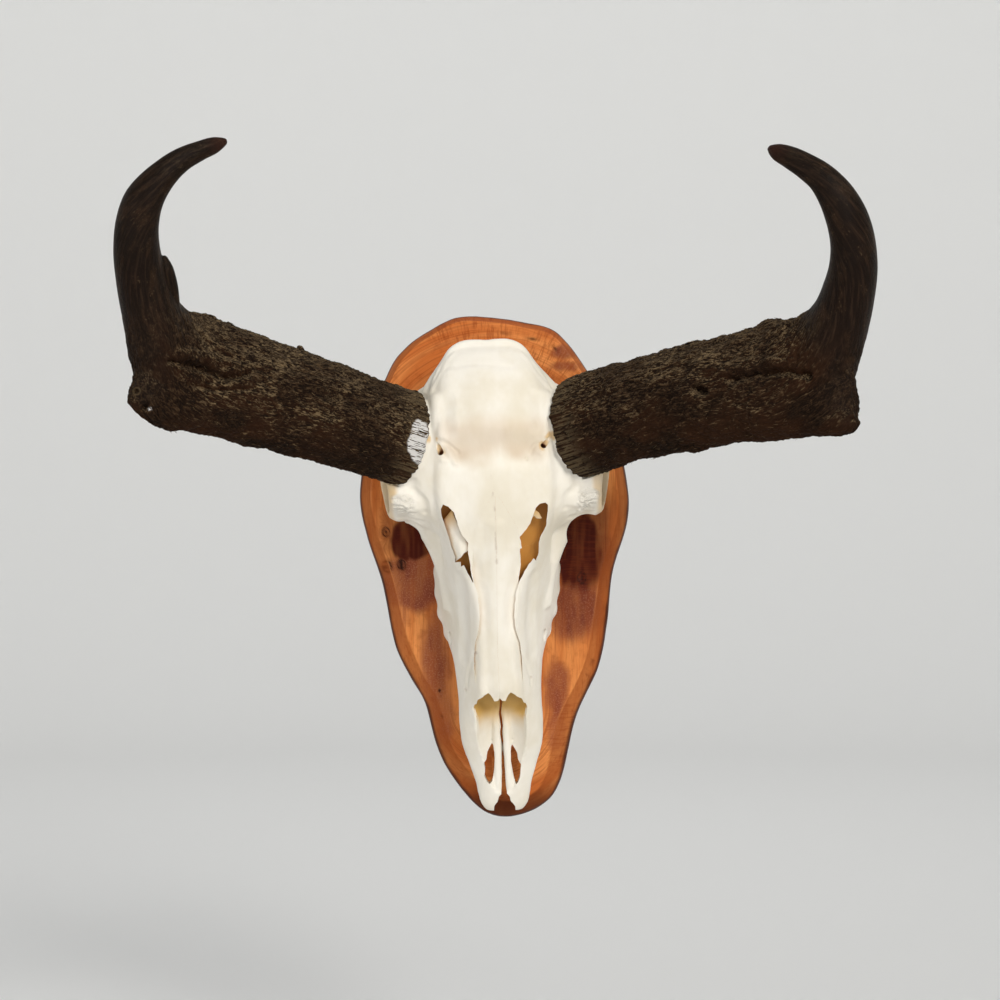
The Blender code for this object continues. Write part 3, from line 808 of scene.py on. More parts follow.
@dataclass(frozen=True)
class HornFinish:
    """Horn sheath: fibrous and dull like bark on the shaft, darker and polished on the tine."""

    dark: Colour = (0.0070, 0.0037, 0.0019, 1.0)
    brown: Colour = (0.044, 0.0220, 0.0105, 1.0)
    fleck: Colour = (0.185, 0.128, 0.067, 1.0)
    weathered: Colour = (0.086, 0.059, 0.034, 1.0)
    olive: Colour = (0.105, 0.074, 0.040, 1.0)
    rust: Colour = (0.062, 0.022, 0.008, 1.0)
    smooth: Colour = (0.0075, 0.0042, 0.0026, 1.0)
    sheen: Colour = (0.030, 0.0165, 0.0095, 1.0)
    tip: Colour = (0.030, 0.011, 0.007, 1.0)
    scrape: Colour = (0.66, 0.64, 0.62, 1.0)
    shine: float = 0.06

    def material(self) -> bpy.types.Material:
        """Build the material.

        The attribute grain holds places across and along the horn in millimetres, relief how
        high the bark stands, tint how pale a loose fibre is, and horn_mask how barky each point
        is, how near the tip, how scraped (one spot being a painted glint), and how far it faces
        up, which paints light on its top and shade underneath.

        Returns:
            The material.
        """
        material, graph, shader = new_material("horn_sheath")
        grain = graph.attribute("grain")["Vector"]
        relief, tint = (graph.attribute(name)["Fac"] for name in ("relief", "tint"))
        barky, near_tip, scraped, upwards = graph.channels("horn_mask")
        along = graph.add("ShaderNodeSeparateXYZ", {0: grain}).outputs[2]
        # Fibres: grainy in some zones and drawn out in others
        grains = graph.noise(grain, 1.55, 3.0, 0.5, 0.65, 0.8)
        lined = graph.noise(grain, 1.5, 3.0, 0.13, 0.62, 0.5)
        zone = graph.range(graph.noise(grain, 0.05, 2.0, 0.7), 0.34, 0.5)
        fibre = graph.plus(graph.times(lined, zone), graph.times(grains, graph.minus(1.0, zone)))
        # Bark of the shaft: painted light makes it paler where it faces up and painted shade darker
        # where it faces down; rusty below, olive at the rim
        clump = graph.noise(grain, 0.045, 2.0, 0.6, 0.5)
        # Painted shade where the sheath faces down, painted light where it faces up
        low = graph.range(upwards, 0.58, 0.12)
        high = graph.times(graph.range(upwards, 0.5, 0.85), graph.range(clump, 0.3, 0.6, 0.35, 0.8))
        shade = graph.plus(graph.times(relief, 0.2), graph.times(fibre, 0.8))
        flecks = graph.times(graph.range(shade, 0.5, 0.62),
                             graph.range(clump, 0.36, 0.62, 0.15, 0.9))
        lines = graph.noise(grain, 0.75, 2.0, 0.03)
        rim = graph.times(graph.range(along, 25.0, 7.0), graph.range(lines, 0.42, 0.6))
        bark = graph.layers(
            self.dark, (graph.range(shade, 0.41, 0.63), self.brown),
            (graph.times(high, graph.range(shade, 0.4, 0.56)), self.weathered),
            (graph.times(low, graph.range(clump, 0.4, 0.6, 0.0, 0.5)), self.rust),
            (graph.times(flecks, graph.minus(1.0, low)), self.fleck),
            (graph.times(low, 0.45), self.dark), (graph.times(rim, 0.75), self.olive),
            (graph.range(tint, 0.05, 1.0, 0.0, 0.7), self.fleck))
        # Polished tine with painted sheen along its streaks, mottled where the bark runs out
        streak = graph.noise(grain, 0.6, 3.0, 0.05)
        mottle = graph.noise(grain, 0.16, 4.0, 0.45, 0.6)
        specks = graph.times(graph.range(grains, 0.6, 0.7), graph.range(mottle, 0.5, 0.62))
        polished = graph.layers(
            self.smooth, (graph.range(streak, 0.45, 0.8), self.sheen),
            (graph.range(mottle, 0.5, 0.72, 0.0, 0.4), self.brown),
            (graph.times(specks, 0.5), self.fleck), (near_tip, self.tip))
        # Pale where scraped bare, and at a painted glint, through cracks
        cracks = graph.noise(grain, 1.2, 2.0, 0.09, 0.55, 0.4)
        bare_and_glint = graph.times(scraped, graph.range(cracks, 0.42, 0.48))
        colour = graph.layers(polished, (barky, bark), (bare_and_glint, self.scrape))
        fine = graph.noise(grain, 3.0, 2.0, 0.2)
        graph.wire(shader, {
            "Base Color": colour, "Roughness": graph.plus(graph.times(barky, 0.4), 0.4),
            "Normal": graph.bumps((fibre, 0.0006, 0.8), (fine, 0.00016, 0.6)),
            "Specular IOR Level": self.shine})
        return material


@dataclass(frozen=True)
class WoodFinish:
    """Varnished red softwood with dark heartwood, growth lines and knots."""

    orange: Colour = (0.56, 0.150, 0.032, 1.0)
    gold: Colour = (0.80, 0.300, 0.085, 1.0)
    line: Colour = (0.27, 0.048, 0.010, 1.0)
    # Heartwood, which under the orbits also stands for the skull's painted shadow
    heart: Colour = (0.066, 0.0068, 0.0022, 1.0)
    # Pink speckle in the plum stain, which also stands for painted glints on the varnish
    bloom: Colour = (0.60, 0.27, 0.145, 1.0)
    plum: Colour = (0.25, 0.058, 0.030, 1.0)
    knot: Colour = (0.018, 0.006, 0.004, 1.0)
    rim: Colour = (0.31, 0.070, 0.014, 1.0)
    # Painted shade on the sides and the low rim, also the colour of the back
    edge: Colour = (0.040, 0.0075, 0.0035, 1.0)
    roughness: float = 0.36
    shine: float = 0.06
    varnish: float = 0.03
    varnish_roughness: float = 0.12

    def material(self) -> bpy.types.Material:
        """Build the material.

        The attribute grain holds a place across and along the growth lines in millimetres,
        wood_mask how much plum stain, heartwood (under the orbits partly a painted shadow of the
        skull) and knot there is and in its alpha how curly the grain is, and bevel how far each
        point lies on the bevel, on the dark edge (painted shade on the sides and the low rim, and
        the colour of the back) and on the bright line inside it (a painted highlight).

        Returns:
            The material.
        """
        material, graph, shader = new_material("varnished_wood")
        grain = graph.attribute("grain")["Vector"]
        place = graph.add("ShaderNodeTexCoord").outputs["Object"]
        plum, heart, knot, curly = graph.channels("wood_mask")
        bevel, painted_edge_shade, painted_bevel_highlight, _ = graph.channels("bevel")
        broad = graph.noise(grain, 0.075, 3.0, 0.12, 0.5, 0.6)
        rings = graph.noise(grain, 0.9, 2.0, 0.015, 0.5, 0.3)
        fibre = graph.noise(grain, 2.6, 2.0, 0.05)
        mottle = graph.noise(place, 190.0, 4.0, 1.0, 0.6)
        curl = graph.noise(grain, 1.1, 2.0, (0.1, 0.1, 1.0), 0.5, 0.5)
        # Fine speckle in the plum stain: pink flecks and painted glints
        speckle = graph.range(graph.noise(place, 1100.0, 2.0), 0.48, 0.66, 0.0, 0.4)
        colour = graph.layers(
            self.orange, (graph.range(broad, 0.36, 0.62), self.gold),
            (graph.range(rings, 0.5, 0.7, 0.0, 0.42), self.line),
            (graph.range(fibre, 0.45, 0.7, 0.0, 0.22), self.line),
            (graph.range(mottle, 0.5, 0.75, 0.0, 0.35), self.line),
            (plum, self.plum), (graph.times(speckle, plum), self.bloom), (heart, self.heart),
            (knot, self.knot), (graph.times(bevel, 0.62), self.rim),
            (graph.times(graph.range(curl, 0.46, 0.64, 0.0, 0.55), curly), self.line),
            (painted_bevel_highlight, self.gold), (painted_edge_shade, self.edge))
        pores = graph.noise(place, 500.0, 2.0, 0.25)
        graph.wire(shader, {
            "Base Color": colour, "Normal": graph.bumps((pores, 0.00018, 0.3)),
            "Roughness": self.roughness, "Specular IOR Level": self.shine,
            "Coat Weight": self.varnish, "Coat Roughness": self.varnish_roughness})
        return material


# Skull

@dataclass(frozen=True)
class Stroke:
    """A ridge, groove or pit that is carved into the bone along a line of points."""

    points: Rows
    radius: float
    depth: float
    mirrored: bool = True
    rough: float = 0.0

    def throw(self, tree: BVHTree, way: float) -> tuple[Array, Array] | None:
        """Find where the line meets the bone, seen from the front.

        Args:
            tree: The bone's faces.
            way: 1 to make the stroke as given, -1 to mirror it.

        Returns:
            The points met and the mean direction that the bone faces there, or None.
        """
        met, normals = [], []
        for x, z in resample(self.points, 1.5, 2) if len(self.points) > 1 else self.points:
            place, normal, _, _ = tree.ray_cast(Vector((way * x, -2 * FAR, z)), BACKWARDS)
            if place is not None:
                met.append(tuple(place))
                normals.append(tuple(normal))
        if not met:
            return None
        return np.array(met * 2 if len(met) == 1 else met), np.array(normals).mean(axis=0)

    def amounts(self, points: Array, normals: Array, tree: BVHTree) -> Array:
        """Return how far the stroke pushes each point outwards.

        Args:
            points: The bone's points.
            normals: The directions that they face.
            tree: The bone's faces.

        Returns:
            One distance for each point.
        """
        total = np.zeros(len(points))
        for way in (1.0, -1.0) if self.mirrored else (1.0,):
            thrown = self.throw(tree, way)
            if thrown is None:
                continue
            line, normal = thrown
            low, high = line.min(axis=0) - self.radius, line.max(axis=0) + self.radius
            near = np.flatnonzero(np.all((points > low) & (points < high), axis=1))
            share = 1 - (line_distance(points[near], line) / self.radius) ** 2
            share = np.clip(share, 0.0, 1.0) ** 2 * np.clip(2 * normals[near] @ normal, 0.0, 1.0)
            if self.rough:
                share *= 1 + self.rough * layered(points[near], 3.0, 5, 3)
            total[near] += self.depth * share
        return total


@dataclass
class Skull:
    """The skull without its lower jaw, shaped whole and then parted along its sutures."""

    orbit_breadth: float = 135.0
    orbit_radius: float = 21.5
    rim_radius: float = 27.0
    knob: Point = (55.5, 0, 41)
    tooth_count: int = 6
    tooth_row_length: float = 74.0
    tooth_row_back: float = 29.0
    tooth_height: float = 11.0
    tooth_root: float = 6.0
    pedicle_length: float = 32.0
    pedicle_long: float = 26.5
    pedicle_short: float = 17.5
    wall: float = 2.4
    rough_voxel: float = 1.1
    hollow_voxel: float = 1.2
    voxel: float = 0.85
    gap: float = 0.025
    cheek_inner: float = 38.0
    face_slope: float = 0.32
    nasal_depth: float = 7.0
    nasal_sink: float = 2.2
    nasal_bevel: float = 7.5
    horn_air: float = 1.0
    cranium_detail: float = 0.78
    splinter: float = 1.1
    splinter_voxel: float = 0.4
    outer: Any = field(default=None, init=False)

    # z, top, roof half width, roof, side half width, side, lower half width, lower, underside
    body: Rows = (
        (138.5, 58, 13, 55, 14.5, 44, 11, 30, 26),
        (133, 65.5, 20, 61, 22.6, 46, 19, 20, 15),
        (124, 74.5, 26, 69, 29.4, 48, 27, 17, 12),
        (110, 84, 31, 78, 39, 52, 31, 17, 12),
        (93, 91, 32, 85, 40.5, 55, 28, 19, 13),
        (76, 95, 34, 89, 37, 60, 22, 24, 14),
        (56, 95, 36, 89, 33, 62, 17, 26, 13),
        (36, 91, 34, 85, 33, 54, 27, 16, 10),
        (16, 84, 27, 78.5, 35.5, 45, 35, 13, 9),
        (-4, 77.5, 19.5, 73.5, 33.5, 43, 38.5, 12.5, 9),
        (-24, 72, 14, 69, 29.5, 40, 36.8, 12, 9),
        (-44, 67, 13, 64.5, 27.5, 38, 30.5, 13, 9),
        (-64, 61.5, 13, 59.5, 26.3, 35, 22, 14, 10),
        (-82, 56, 13, 54, 25.7, 33, 18, 15, 11),
        (-96, 47, 14, 45, 26, 31, 18.5, 15, 12),
        (-110, 38, 14, 36, 24.6, 27, 18, 14, 12),
        (-122, 31, 12, 29.5, 21, 22, 15.5, 13, 11),
        (-133, 26, 11, 25, 17.7, 19, 13.5, 12, 10.5),
        (-143, 21.5, 10.5, 20.5, 16, 16, 12, 11.5, 10),
        (-149, 18, 9.5, 17.5, 14, 14.5, 10.5, 11, 10),
        (-152.4, 15.5, 6.5, 15, 10.8, 13.5, 7.5, 11.5, 11),
    )
    brow: Rows = (
        (104, 78, 24, 75, 32, 70, 24, 62, 60),
        (94, 88, 36, 82, 47, 74, 38, 64, 62),
        (78, 93, 42, 86, 57, 76, 48, 64, 62),
        (62, 94, 44, 86, 63, 76, 54, 66, 62),
        (48, 92, 44, 84, 65, 73, 56, 62, 60),
        (37, 89, 40, 80, 61, 68, 52, 56, 56),
        (28, 85, 32, 76, 46, 62, 40, 54, 54),
        (20, 80, 22, 72, 34, 60, 28, 54, 54),
    )
    # Half the rim of the crown: x, height, z, radius
    crest: Rows = (
        (39, 61.5, 106.4, 4.2), (34.4, 63, 112.4, 4.2), (29.2, 62.4, 119.2, 4),
        (24.8, 60.8, 125.8, 3.7), (21.6, 59.8, 131.6, 3.3), (19.2, 59.3, 134.3, 3),
        (15.9, 59.2, 136.3, 2.8), (0, 59.8, 136.9, 2.8))
    nose: Rows = (
        (0, -78.5), (1.2, -80), (3.4, -80.5), (5.4, -76.5), (7, -75), (10.5, -77.5),
        (13.4, -79.5), (14.8, -82.6), (15.9, -86), (15.6, -89), (12, -94), (5, -96))
    # Inside of the muzzle: z, middle height, half width, half height
    muzzle: Rows = (
        (-46, 44, 6, 5), (-60, 45, 11, 8), (-77, 44.5, 15.4, 8.5), (-84, 47.5, 16.2, 13),
        (-90, 56, 16.8, 23), (-96, 62, 19, 32), (-104, 64, 20, 38.4), (-112, 62, 19.5, 39),
        (-122, 58, 16.5, 38), (-133, 50, 13, 32), (-140, 42, 9, 24))
    # Thin bar of bone inside each half of the muzzle: x, height, z, radius
    muzzle_bar: Rows = (
        (3, 33, -86, 2), (3, 32.6, -92, 2.3), (3, 29, -104, 2.4), (3, 26.3, -114, 2.4),
        (3.2, 23.8, -124, 2.4), (3.6, 21.3, -134, 2.6), (4.4, 18.6, -142, 2.8))
    # Round notches between the knobs and the cheeks: x, z, radius
    notches: Rows = ((-55.9, 19.2, 9.9), (55.4, 19.5, 12.5))
    vacuities: dict[Side, Rows] = field(default_factory=lambda: {
        Side.LEFT: (
            (-31.2, 40.3), (-28, 38.8), (-24.7, 35.4), (-22, 25.5), (-19.5, 20.5), (-16.9, 16.6),
            (-17.4, 13.2), (-16.4, 8), (-15.6, 0), (-14.2, -7.4), (-17.2, -1.8), (-19.6, 3.4),
            (-21.6, 2.4), (-21.4, 5.6), (-25, 5.2), (-24.8, 8.8), (-26.6, 13.5), (-28.4, 20.5),
            (-30.1, 26.2), (-32.2, 33.4), (-32.6, 37.6)),
        Side.RIGHT: (
            (29.8, 39.6), (31.3, 38.4), (31.2, 34.8), (29.9, 25.2), (27.4, 21), (25.4, 16),
            (25.2, 9.5), (23.6, 4.6), (22.3, 6.4), (19.6, 3.4), (16.4, -2), (12.9, -8),
            (14.4, 2), (15.5, 8.6), (15, 14.6), (14.1, 19.4), (17, 22.8), (20.3, 27.2),
            (24, 36.4), (26.6, 39.2)),
    })
    fissures: dict[Side, Rows] = field(default_factory=lambda: {
        Side.LEFT: (
            (-6.5, -108.6), (-8, -111.2), (-9.4, -113.9), (-10.3, -118.3), (-12, -121.2),
            (-11.3, -124.5), (-11.8, -129.5), (-10.3, -133.2), (-8.9, -134.6), (-7.2, -132.6),
            (-6.2, -128.6), (-5.3, -121.4), (-5.1, -114.2), (-5.6, -110)),
        Side.RIGHT: (
            (6.2, -110), (7.6, -112.2), (9, -115), (9.4, -119.6), (11.3, -122.2),
            (10.7, -126), (10.3, -130.4), (8.8, -133.8), (7.6, -134.9), (6.3, -131),
            (5.4, -125), (4.9, -120.9), (5, -114.2), (5.5, -111)),
    })
    face_suture: Rows = ((-20, 16), (34, 16), (54, 8), (130, 8))
    muzzle_suture: Rows = ((-20, -104), (0, -104), (70, -64), (130, -64))
    cheek_suture: Rows = ((-20, 13), (-20, 89), (42, 89), (45, 60), (50, 40), (48, 26), (36, 15),
                          (18, 11))
    nasal: Rows = (
        (44, 92, 2), (36, 90, 7), (26, 87.5, 12), (8, 81.5, 14.2), (-6, 77.5, 13.8),
        (-12, 75.6, 11.9), (-22, 72.6, 10.6), (-34, 69.5, 10.8), (-42, 67.4, 12.8),
        (-50, 65.4, 14.2), (-66, 61, 14.6), (-90, 53, 14.2),
    )
    # Half width at each z, and how far the slit wanders to the viewer's right
    slit: Rows = (
        (0.03, -70, 0), (0.5, -79, 0.2), (0.75, -83, 0.5), (0.6, -86, 0), (0.75, -90, -0.5),
        (0.7, -98, 0.2), (0.75, -103, -0.5), (0.5, -108, 0.1), (0.1, -110.5, 0.2),
        (0.1, -113, 0.2), (0.5, -115.5, 0), (0.9, -124, 0), (1.3, -136, 0), (1.9, -141, 0),
        (3.4, -142.6, 0), (4.2, -146, 0), (5.4, -147.4, 0), (6.6, -149.4, 0), (7.2, -156, 0))
    # Grooves over the orbits, each running down into a hole
    foramina: tuple[Rows, ...] = (
        ((-37.2, 91, 79.4, 0.9, 0.9), (-35, 90.8, 77.4, 1.4, 1.4),
         (-33, 90.8, 74.6, 1.8, 1.8), (-31.4, 90.6, 71.4, 2.2, 2.2),
         (-30, 87.5, 68.2, 2.9, 2.9), (-29.4, 83.5, 66.8, 2.5, 2.5)),
        ((34.8, 91.2, 79.2, 0.8, 0.8), (33.2, 91, 77.6, 1.2, 1.2),
         (31.4, 91.1, 75.6, 1.5, 1.5), (29.7, 91, 73.4, 1.9, 1.9),
         (28.4, 87.5, 72.2, 1.9, 1.9), (27.6, 84, 71.6, 1.6, 1.6)),
    )
    # Faint thread of the suture between the frontal bones
    thread: Rows = ((-2.2, 57), (-0.6, 50), (-1.4, 43), (-0.4, 35), (-0.8, 26), (-0.2, 14), (0, 4))
    pits: Rows = ((19.6, 65.8), (-13.2, -50.4), (19.7, -66.9), (-20.7, -73.6))
    # Outline, least depth under the face, and how much deeper outwards and upwards
    flakes: dict[Side, tuple[Rows, Point]] = field(default_factory=lambda: {
        Side.LEFT: (
            ((-26.2, 37), (-22.5, 27.5), (-19, 20.5), (-16.4, 15), (-17.6, 11.4),
             (-19.5, 10.6), (-21.4, 8), (-25.4, 5.2), (-27.4, 7.4), (-30, 15),
             (-32.2, 24), (-31.6, 31)), (2, 0.28, 0.15)),
        Side.RIGHT: (
            ((20.4, 36.4), (24.2, 35.2), (26, 33.6), (27.7, 30), (24.7, 30), (23.2, 31.4),
             (20, 32.4)), (4.2, 0.05, 0.03)),
    })
    strokes: tuple[Stroke, ...] = (
        # Temporal lines and the ledge outside them
        Stroke(((36.6, 107.8), (33, 112), (28.2, 119.5), (23, 128), (19.4, 131.6)), 2.8, 0.3),
        Stroke(((37.8, 108.8), (34.2, 113), (29.4, 120.5), (24.2, 129), (20.6, 132.8)), 2.0, -0.25),
        Stroke(((-24, 122.6), (-8, 124.4), (13, 121.8)), 3.4, -0.35, mirrored=False),
        Stroke(((-12, 131.5), (12, 131.5)), 7.0, 0.5, mirrored=False),
        # Swelling over the brow, and the sag below it
        Stroke(((-20, 89), (20, 89)), 15.0, 1.7, mirrored=False),
        Stroke(((-21, 71.5), (-8, 72.6), (9, 72), (21, 71)), 13.0, -2.4, mirrored=False),
        # Even slopes from the forehead to the horns
        Stroke(((33, 104), (32.4, 95), (32.2, 87), (31.5, 80)), 5.2, 1.6),
        Stroke(((26, 104), (26, 94), (26, 84)), 5.5, -0.8),
        # Furrows and lips beside the foramina over the orbits
        Stroke(((-32, 78.6), (-28.3, 76.6), (-24.8, 73.8), (-21.5, 71)), 2.2, -1.0, mirrored=False),
        Stroke(((30, 74.5), (26, 74.8), (23.8, 73), (22, 69)), 2.2, -0.8, mirrored=False),
        Stroke(((-27.4, 72.5), (-25.4, 68.5), (-23, 64.5)), 2.8, 1.1, mirrored=False),
        Stroke(((-30.6, 66.6), (-28, 66)), 2.4, 0.7, mirrored=False),
        Stroke(((25, 70.6), (28, 68.8)), 2.4, 0.8, mirrored=False),
        Stroke(((19.6, 65.8),), 1.6, -0.9, mirrored=False),
        Stroke(((19.7, -66.9),), 1.5, -0.8, mirrored=False),
        Stroke(((-20.7, -73.6),), 1.5, -0.8, mirrored=False),
        # Keel of the nasal bones, and the hollows beside them
        Stroke(((0, 26), (0, -72)), 7.5, 1.3, mirrored=False),
        Stroke(((14.2, -50), (16.4, -57), (18.6, -64), (19.5, -71)), 2.4, -0.4),
        Stroke(((22, -6), (20.5, -20), (20, -36), (21, -52)), 8.0, -1.2),
        # Knobs on the front rims of the orbits
        Stroke(((56.5, 54), (50, 52)), 7.0, -1.5),
        Stroke(((59.5, 42.6), (55, 41.4), (50.5, 39)), 5.4, 1.9, rough=0.3),
        Stroke(((60.5, 46), (57, 46), (53, 44)), 1.4, 1.1, rough=0.8),
        Stroke(((61.4, 43.6), (57.5, 43), (52, 41)), 1.4, 1.2, rough=0.8),
        Stroke(((60.5, 40.6), (56, 40.2), (51, 38)), 1.4, 1.1, rough=0.8),
        Stroke(((58.5, 38), (54, 37), (50, 35)), 1.4, 0.9, rough=0.8),
        Stroke(((58, 33), (52, 32), (46, 30)), 3.6, -0.8),
        Stroke(((49, 48), (43.5, 43), (42.5, 36)), 4.4, -1.5),
        Stroke(((44, 33), (38, 22), (35, 8)), 7.0, -1.3),
    )

    def loft(self, name: str, sections: Rows) -> Solid:
        """Make the braincase and face, or the brow.

        Args:
            name: The solid's name.
            sections: The rows of its sections.

        Returns:
            The solid through the sections.
        """
        rings = []
        for row in resample(sections, 2.5, 1):
            z, top, roof_w, roof_h, side_w, side_h, low_w, low_h, floor = row
            crown_h = roof_h + 0.78 * (top - roof_h)
            half = [(0.5 * roof_w, crown_h), (roof_w, roof_h), (side_w, side_h), (low_w, low_h),
                    (0.5 * low_w, floor)]
            outline = [(0.0, top)] + half + [(0.0, floor)] + [(-x, h) for x, h in reversed(half)]
            rings.append([(x, h, z) for x, h in closed_curve(outline, 8)])
        return Solid.skin(name, rings)

    def tooth_places(self) -> list[tuple[float, float, float]]:
        """Lay out the cheek teeth of one side.

        Returns:
            One row a tooth, as (x, z, half width).
        """
        pitch = self.tooth_row_length / self.tooth_count
        places = []
        for index in range(self.tooth_count):
            share = (index + 0.5) / self.tooth_count
            x = 29.0 + 3.0 * math.sin(math.pi * (0.25 + 0.5 * share)) - 11.0 * share**1.8
            places.append((x, self.tooth_row_back - pitch * (index + 0.5), 7.0 - 2.2 * share**2))
        return places

    def masses(self) -> list[Solid]:
        """Make the closed masses that are fused to the braincase and face.

        Returns:
            The masses.
        """
        masses = [self.loft("brow", self.brow)]
        margin = np.array(self.body)[::-1]
        for way in (-1, 1):
            cup = ((14, 50, 66, 16), (35, 54, 62, 24), (54, 56.5, 58.5, 27.5),
                   (64, 57, 58, self.rim_radius),
                   (0.5 * self.orbit_breadth + 0.6, 57.5, 57.5, 24.5))
            masses.append(Solid.rod("cup", cup, way, 40))
            for line in (
                ((28, 30, 10, 7), (43, 30, 27, 8), (57, 29, 44, 7.5), (62.5, 29.5, 60, 6),
                 (62, 31, 76, 5.2), (58, 33, 90, 5.2), (50, 34, 100, 6), (36, 33, 107, 8)),
                ((56, 70, 82, 6), (61, 55, 84, 4.5), (61, 40, 80, 5), (60, 32, 76, 5)),
                ((46, 52, 42, 14), (36, 44, 22, 10), (29, 38, 0, 8.5), (26, 34, -24, 8)),
                ((27, 26, 114, 7), (27.6, 13, 119, 5.4), (28.4, 3.5, 122, 3)),
                ((26, 26, 103, 9), (36, 31, 106, 6.5), (42, 34, 107, 5.5)),
                ((18.5, 60, 131.5, 3), (22.8, 64, 126.5, 3.6), (28.5, 67.6, 117.5, 4.2),
                 (32, 71.2, 108.5, 4.6), (33.6, 79, 98, 5), (35.8, 82.8, 86, 5.2),
                 (37.2, 82.6, 77, 4.5)),
                ((13, 24, 84, 4.5), (11.5, 15, 68, 4), (12, 12, 52, 4), (15, 14, 36, 6)),
            ):
                masses.append(Solid.rod("bar", line, way))
            masses.append(Solid.ball("condyle", (way * 13, 17, 128), (9, 12, 13)))
            masses.append(Solid.ball("bulla", (way * 19, 13, 100), (8.5, 11, 13)))
            for _, z, _ in self.tooth_places():
                edge = np.interp(z, margin[:, 0], margin[:, 6])
                masses.append(Solid.ball("socket", (way * (edge - 2.2), 14.5, z), (4, 8, 6.6)))
        crest = [(side * x, h, z, radius, radius) for side, run in
                 ((-1, self.crest), (1, self.crest[-2::-1])) for x, h, z, radius in run]
        masses.append(Solid.tube("crest", crest, sides=16))
        masses.append(Solid.rod("floor", ((0, 20, 128, 9), (0, 17, 108, 9), (0, 18, 80, 8))))
        return masses

    def hollows(self) -> list[Solid]:
        """Make the smooth hollows that are cut out of the bone.

        Returns:
            The hollows.
        """
        hollows = []
        for way in (-1, 1):
            orbit = ((16, 49, 66, 6), (35, 53, 62.5, 15), (54, 56.5, 58.5, 20.5),
                     (66, 57.5, 57.5, self.orbit_radius), (84, 59, 56, 24))
            hollows.append(Solid.rod("orbit", orbit, way, 40))
            hollows.append(Solid.ball("temporal", (way * 49, 52, 87), (7.5, 15, 12)))
            hollows.append(Solid.rod("nerve", ((34, 30, -47, 3.5), (22, 34, -36, 3)), way, 16))
        for x, z, radius in self.notches:
            hollows.append(Solid.rod("notch", ((x, 0, z, radius), (x, 95, z, radius)), 1.0, 40))
        turn = np.linspace(0.0, math.tau, 40, endpoint=False)
        hollows.append(Solid.skin("muzzle", [
            [(half * math.cos(angle), height + tall * math.sin(angle), z) for angle in turn]
            for z, height, half, tall in resample(self.muzzle, 2.0, 1)]))
        hollows.append(Solid.rod("foramen_magnum", ((0, 27, 146, 11), (0, 27, 122, 8))))
        hollows.append(Solid.rod("palate", ((0, -2, 60, 11), (0, -4, 36, 17), (0, -5, 10, 20),
                                            (0, -5, -20, 18), (0, -4, -46, 13), (0, -3, -80, 12))))
        hollows.append(Solid.rod("choana", ((0, 8, 62, 8), (0, 24, 44, 7))))
        return hollows

    def face_hollow(self, outer: Solid) -> Solid:
        """Return the airy inside of the face, a wall's thickness under its surface.

        Args:
            outer: The whole bone before anything is cut out of it.

        Returns:
            The hollow.
        """
        hollow = outer.copy("face_hollow")
        hollow.push(np.full(len(hollow.points), -self.wall))
        hollow.fuse(self.hollow_voxel, 2)
        side_view = ((77, 43), (70, 8), (60, -24), (46, -50), (39, -68), (38, -76), (90, -76),
                     (120, 43))
        room = Solid.skin("room", [[(x, h, z) for h, z in side_view] for x in (-33.0, 33.0)])
        return hollow.combine([room], Joining.KEEP)

    def teeth(self) -> list[Solid]:
        """Make the cheek teeth, each a pair of pinched lobes with a worn crown.

        Returns:
            The lobes.
        """
        teeth = []
        lobe = self.tooth_row_length / self.tooth_count * 0.33
        turn = np.linspace(0.0, math.tau, 20, endpoint=False)
        for way in (-1.0, 1.0):
            for x, z, half_width in self.tooth_places():
                for shift in (-0.76, 0.76):
                    rings = []
                    for height, grow, lean in ((0.0, 0.82, 0.0), (1.2, 0.98, 0.0), (5.0, 1.0, 0.0),
                                               (self.tooth_height + self.tooth_root, 0.9, 0.5)):
                        wave = grow * (1 + 0.07 * np.cos(4 * turn))
                        rings.append(np.stack((
                            way * (x + lean + half_width * wave * np.cos(turn)),
                            np.full_like(turn, height),
                            z + shift * lobe + lobe * wave * np.sin(turn)), axis=1))
                    teeth.append(Solid.skin("tooth", rings))
        return teeth

    def pedicle(self, horn: Rows) -> Solid:
        """Make the bony stump that a horn sheath sits on, ending just short of the sheath.

        Args:
            horn: The middle line of the sheath, upright.

        Returns:
            The stump.
        """
        base, second = Vector(horn[0][:3]), Vector(horn[1][:3])
        run = (second - base).normalized()
        base.y -= STAND_OFF
        start, end = base - run * self.pedicle_length, base - run * 0.3
        stations = []
        for share, grow in ((0.0, 1.08), (0.5, 1.05), (0.8, 1.0), (1.0, 1.0)):
            point = start.lerp(end, share)
            stations.append((*point, self.pedicle_long * grow, self.pedicle_short * grow))
        return Solid.tube("pedicle", stations, 4.0, 36)

    def horn_room(self, horn: Rows) -> Solid:
        """Make the room that a horn sheath takes up, with a little air round it.

        Args:
            horn: The middle line of the sheath.

        Returns:
            The room.
        """
        turn = Matrix.Rotation(SKULL_LEAN, 3, "Y")
        grown = [(*row[:3], row[3] + self.horn_air, row[4] + self.horn_air) for row in horn[:5]]
        rows = [(row[0], row[1] - STAND_OFF, *row[2:]) for row in upright(grown)]
        return Solid.tube("horn_room", rows, 4.0, 48, tuple(turn @ Vector((0.0, 0.0, 1.0))))

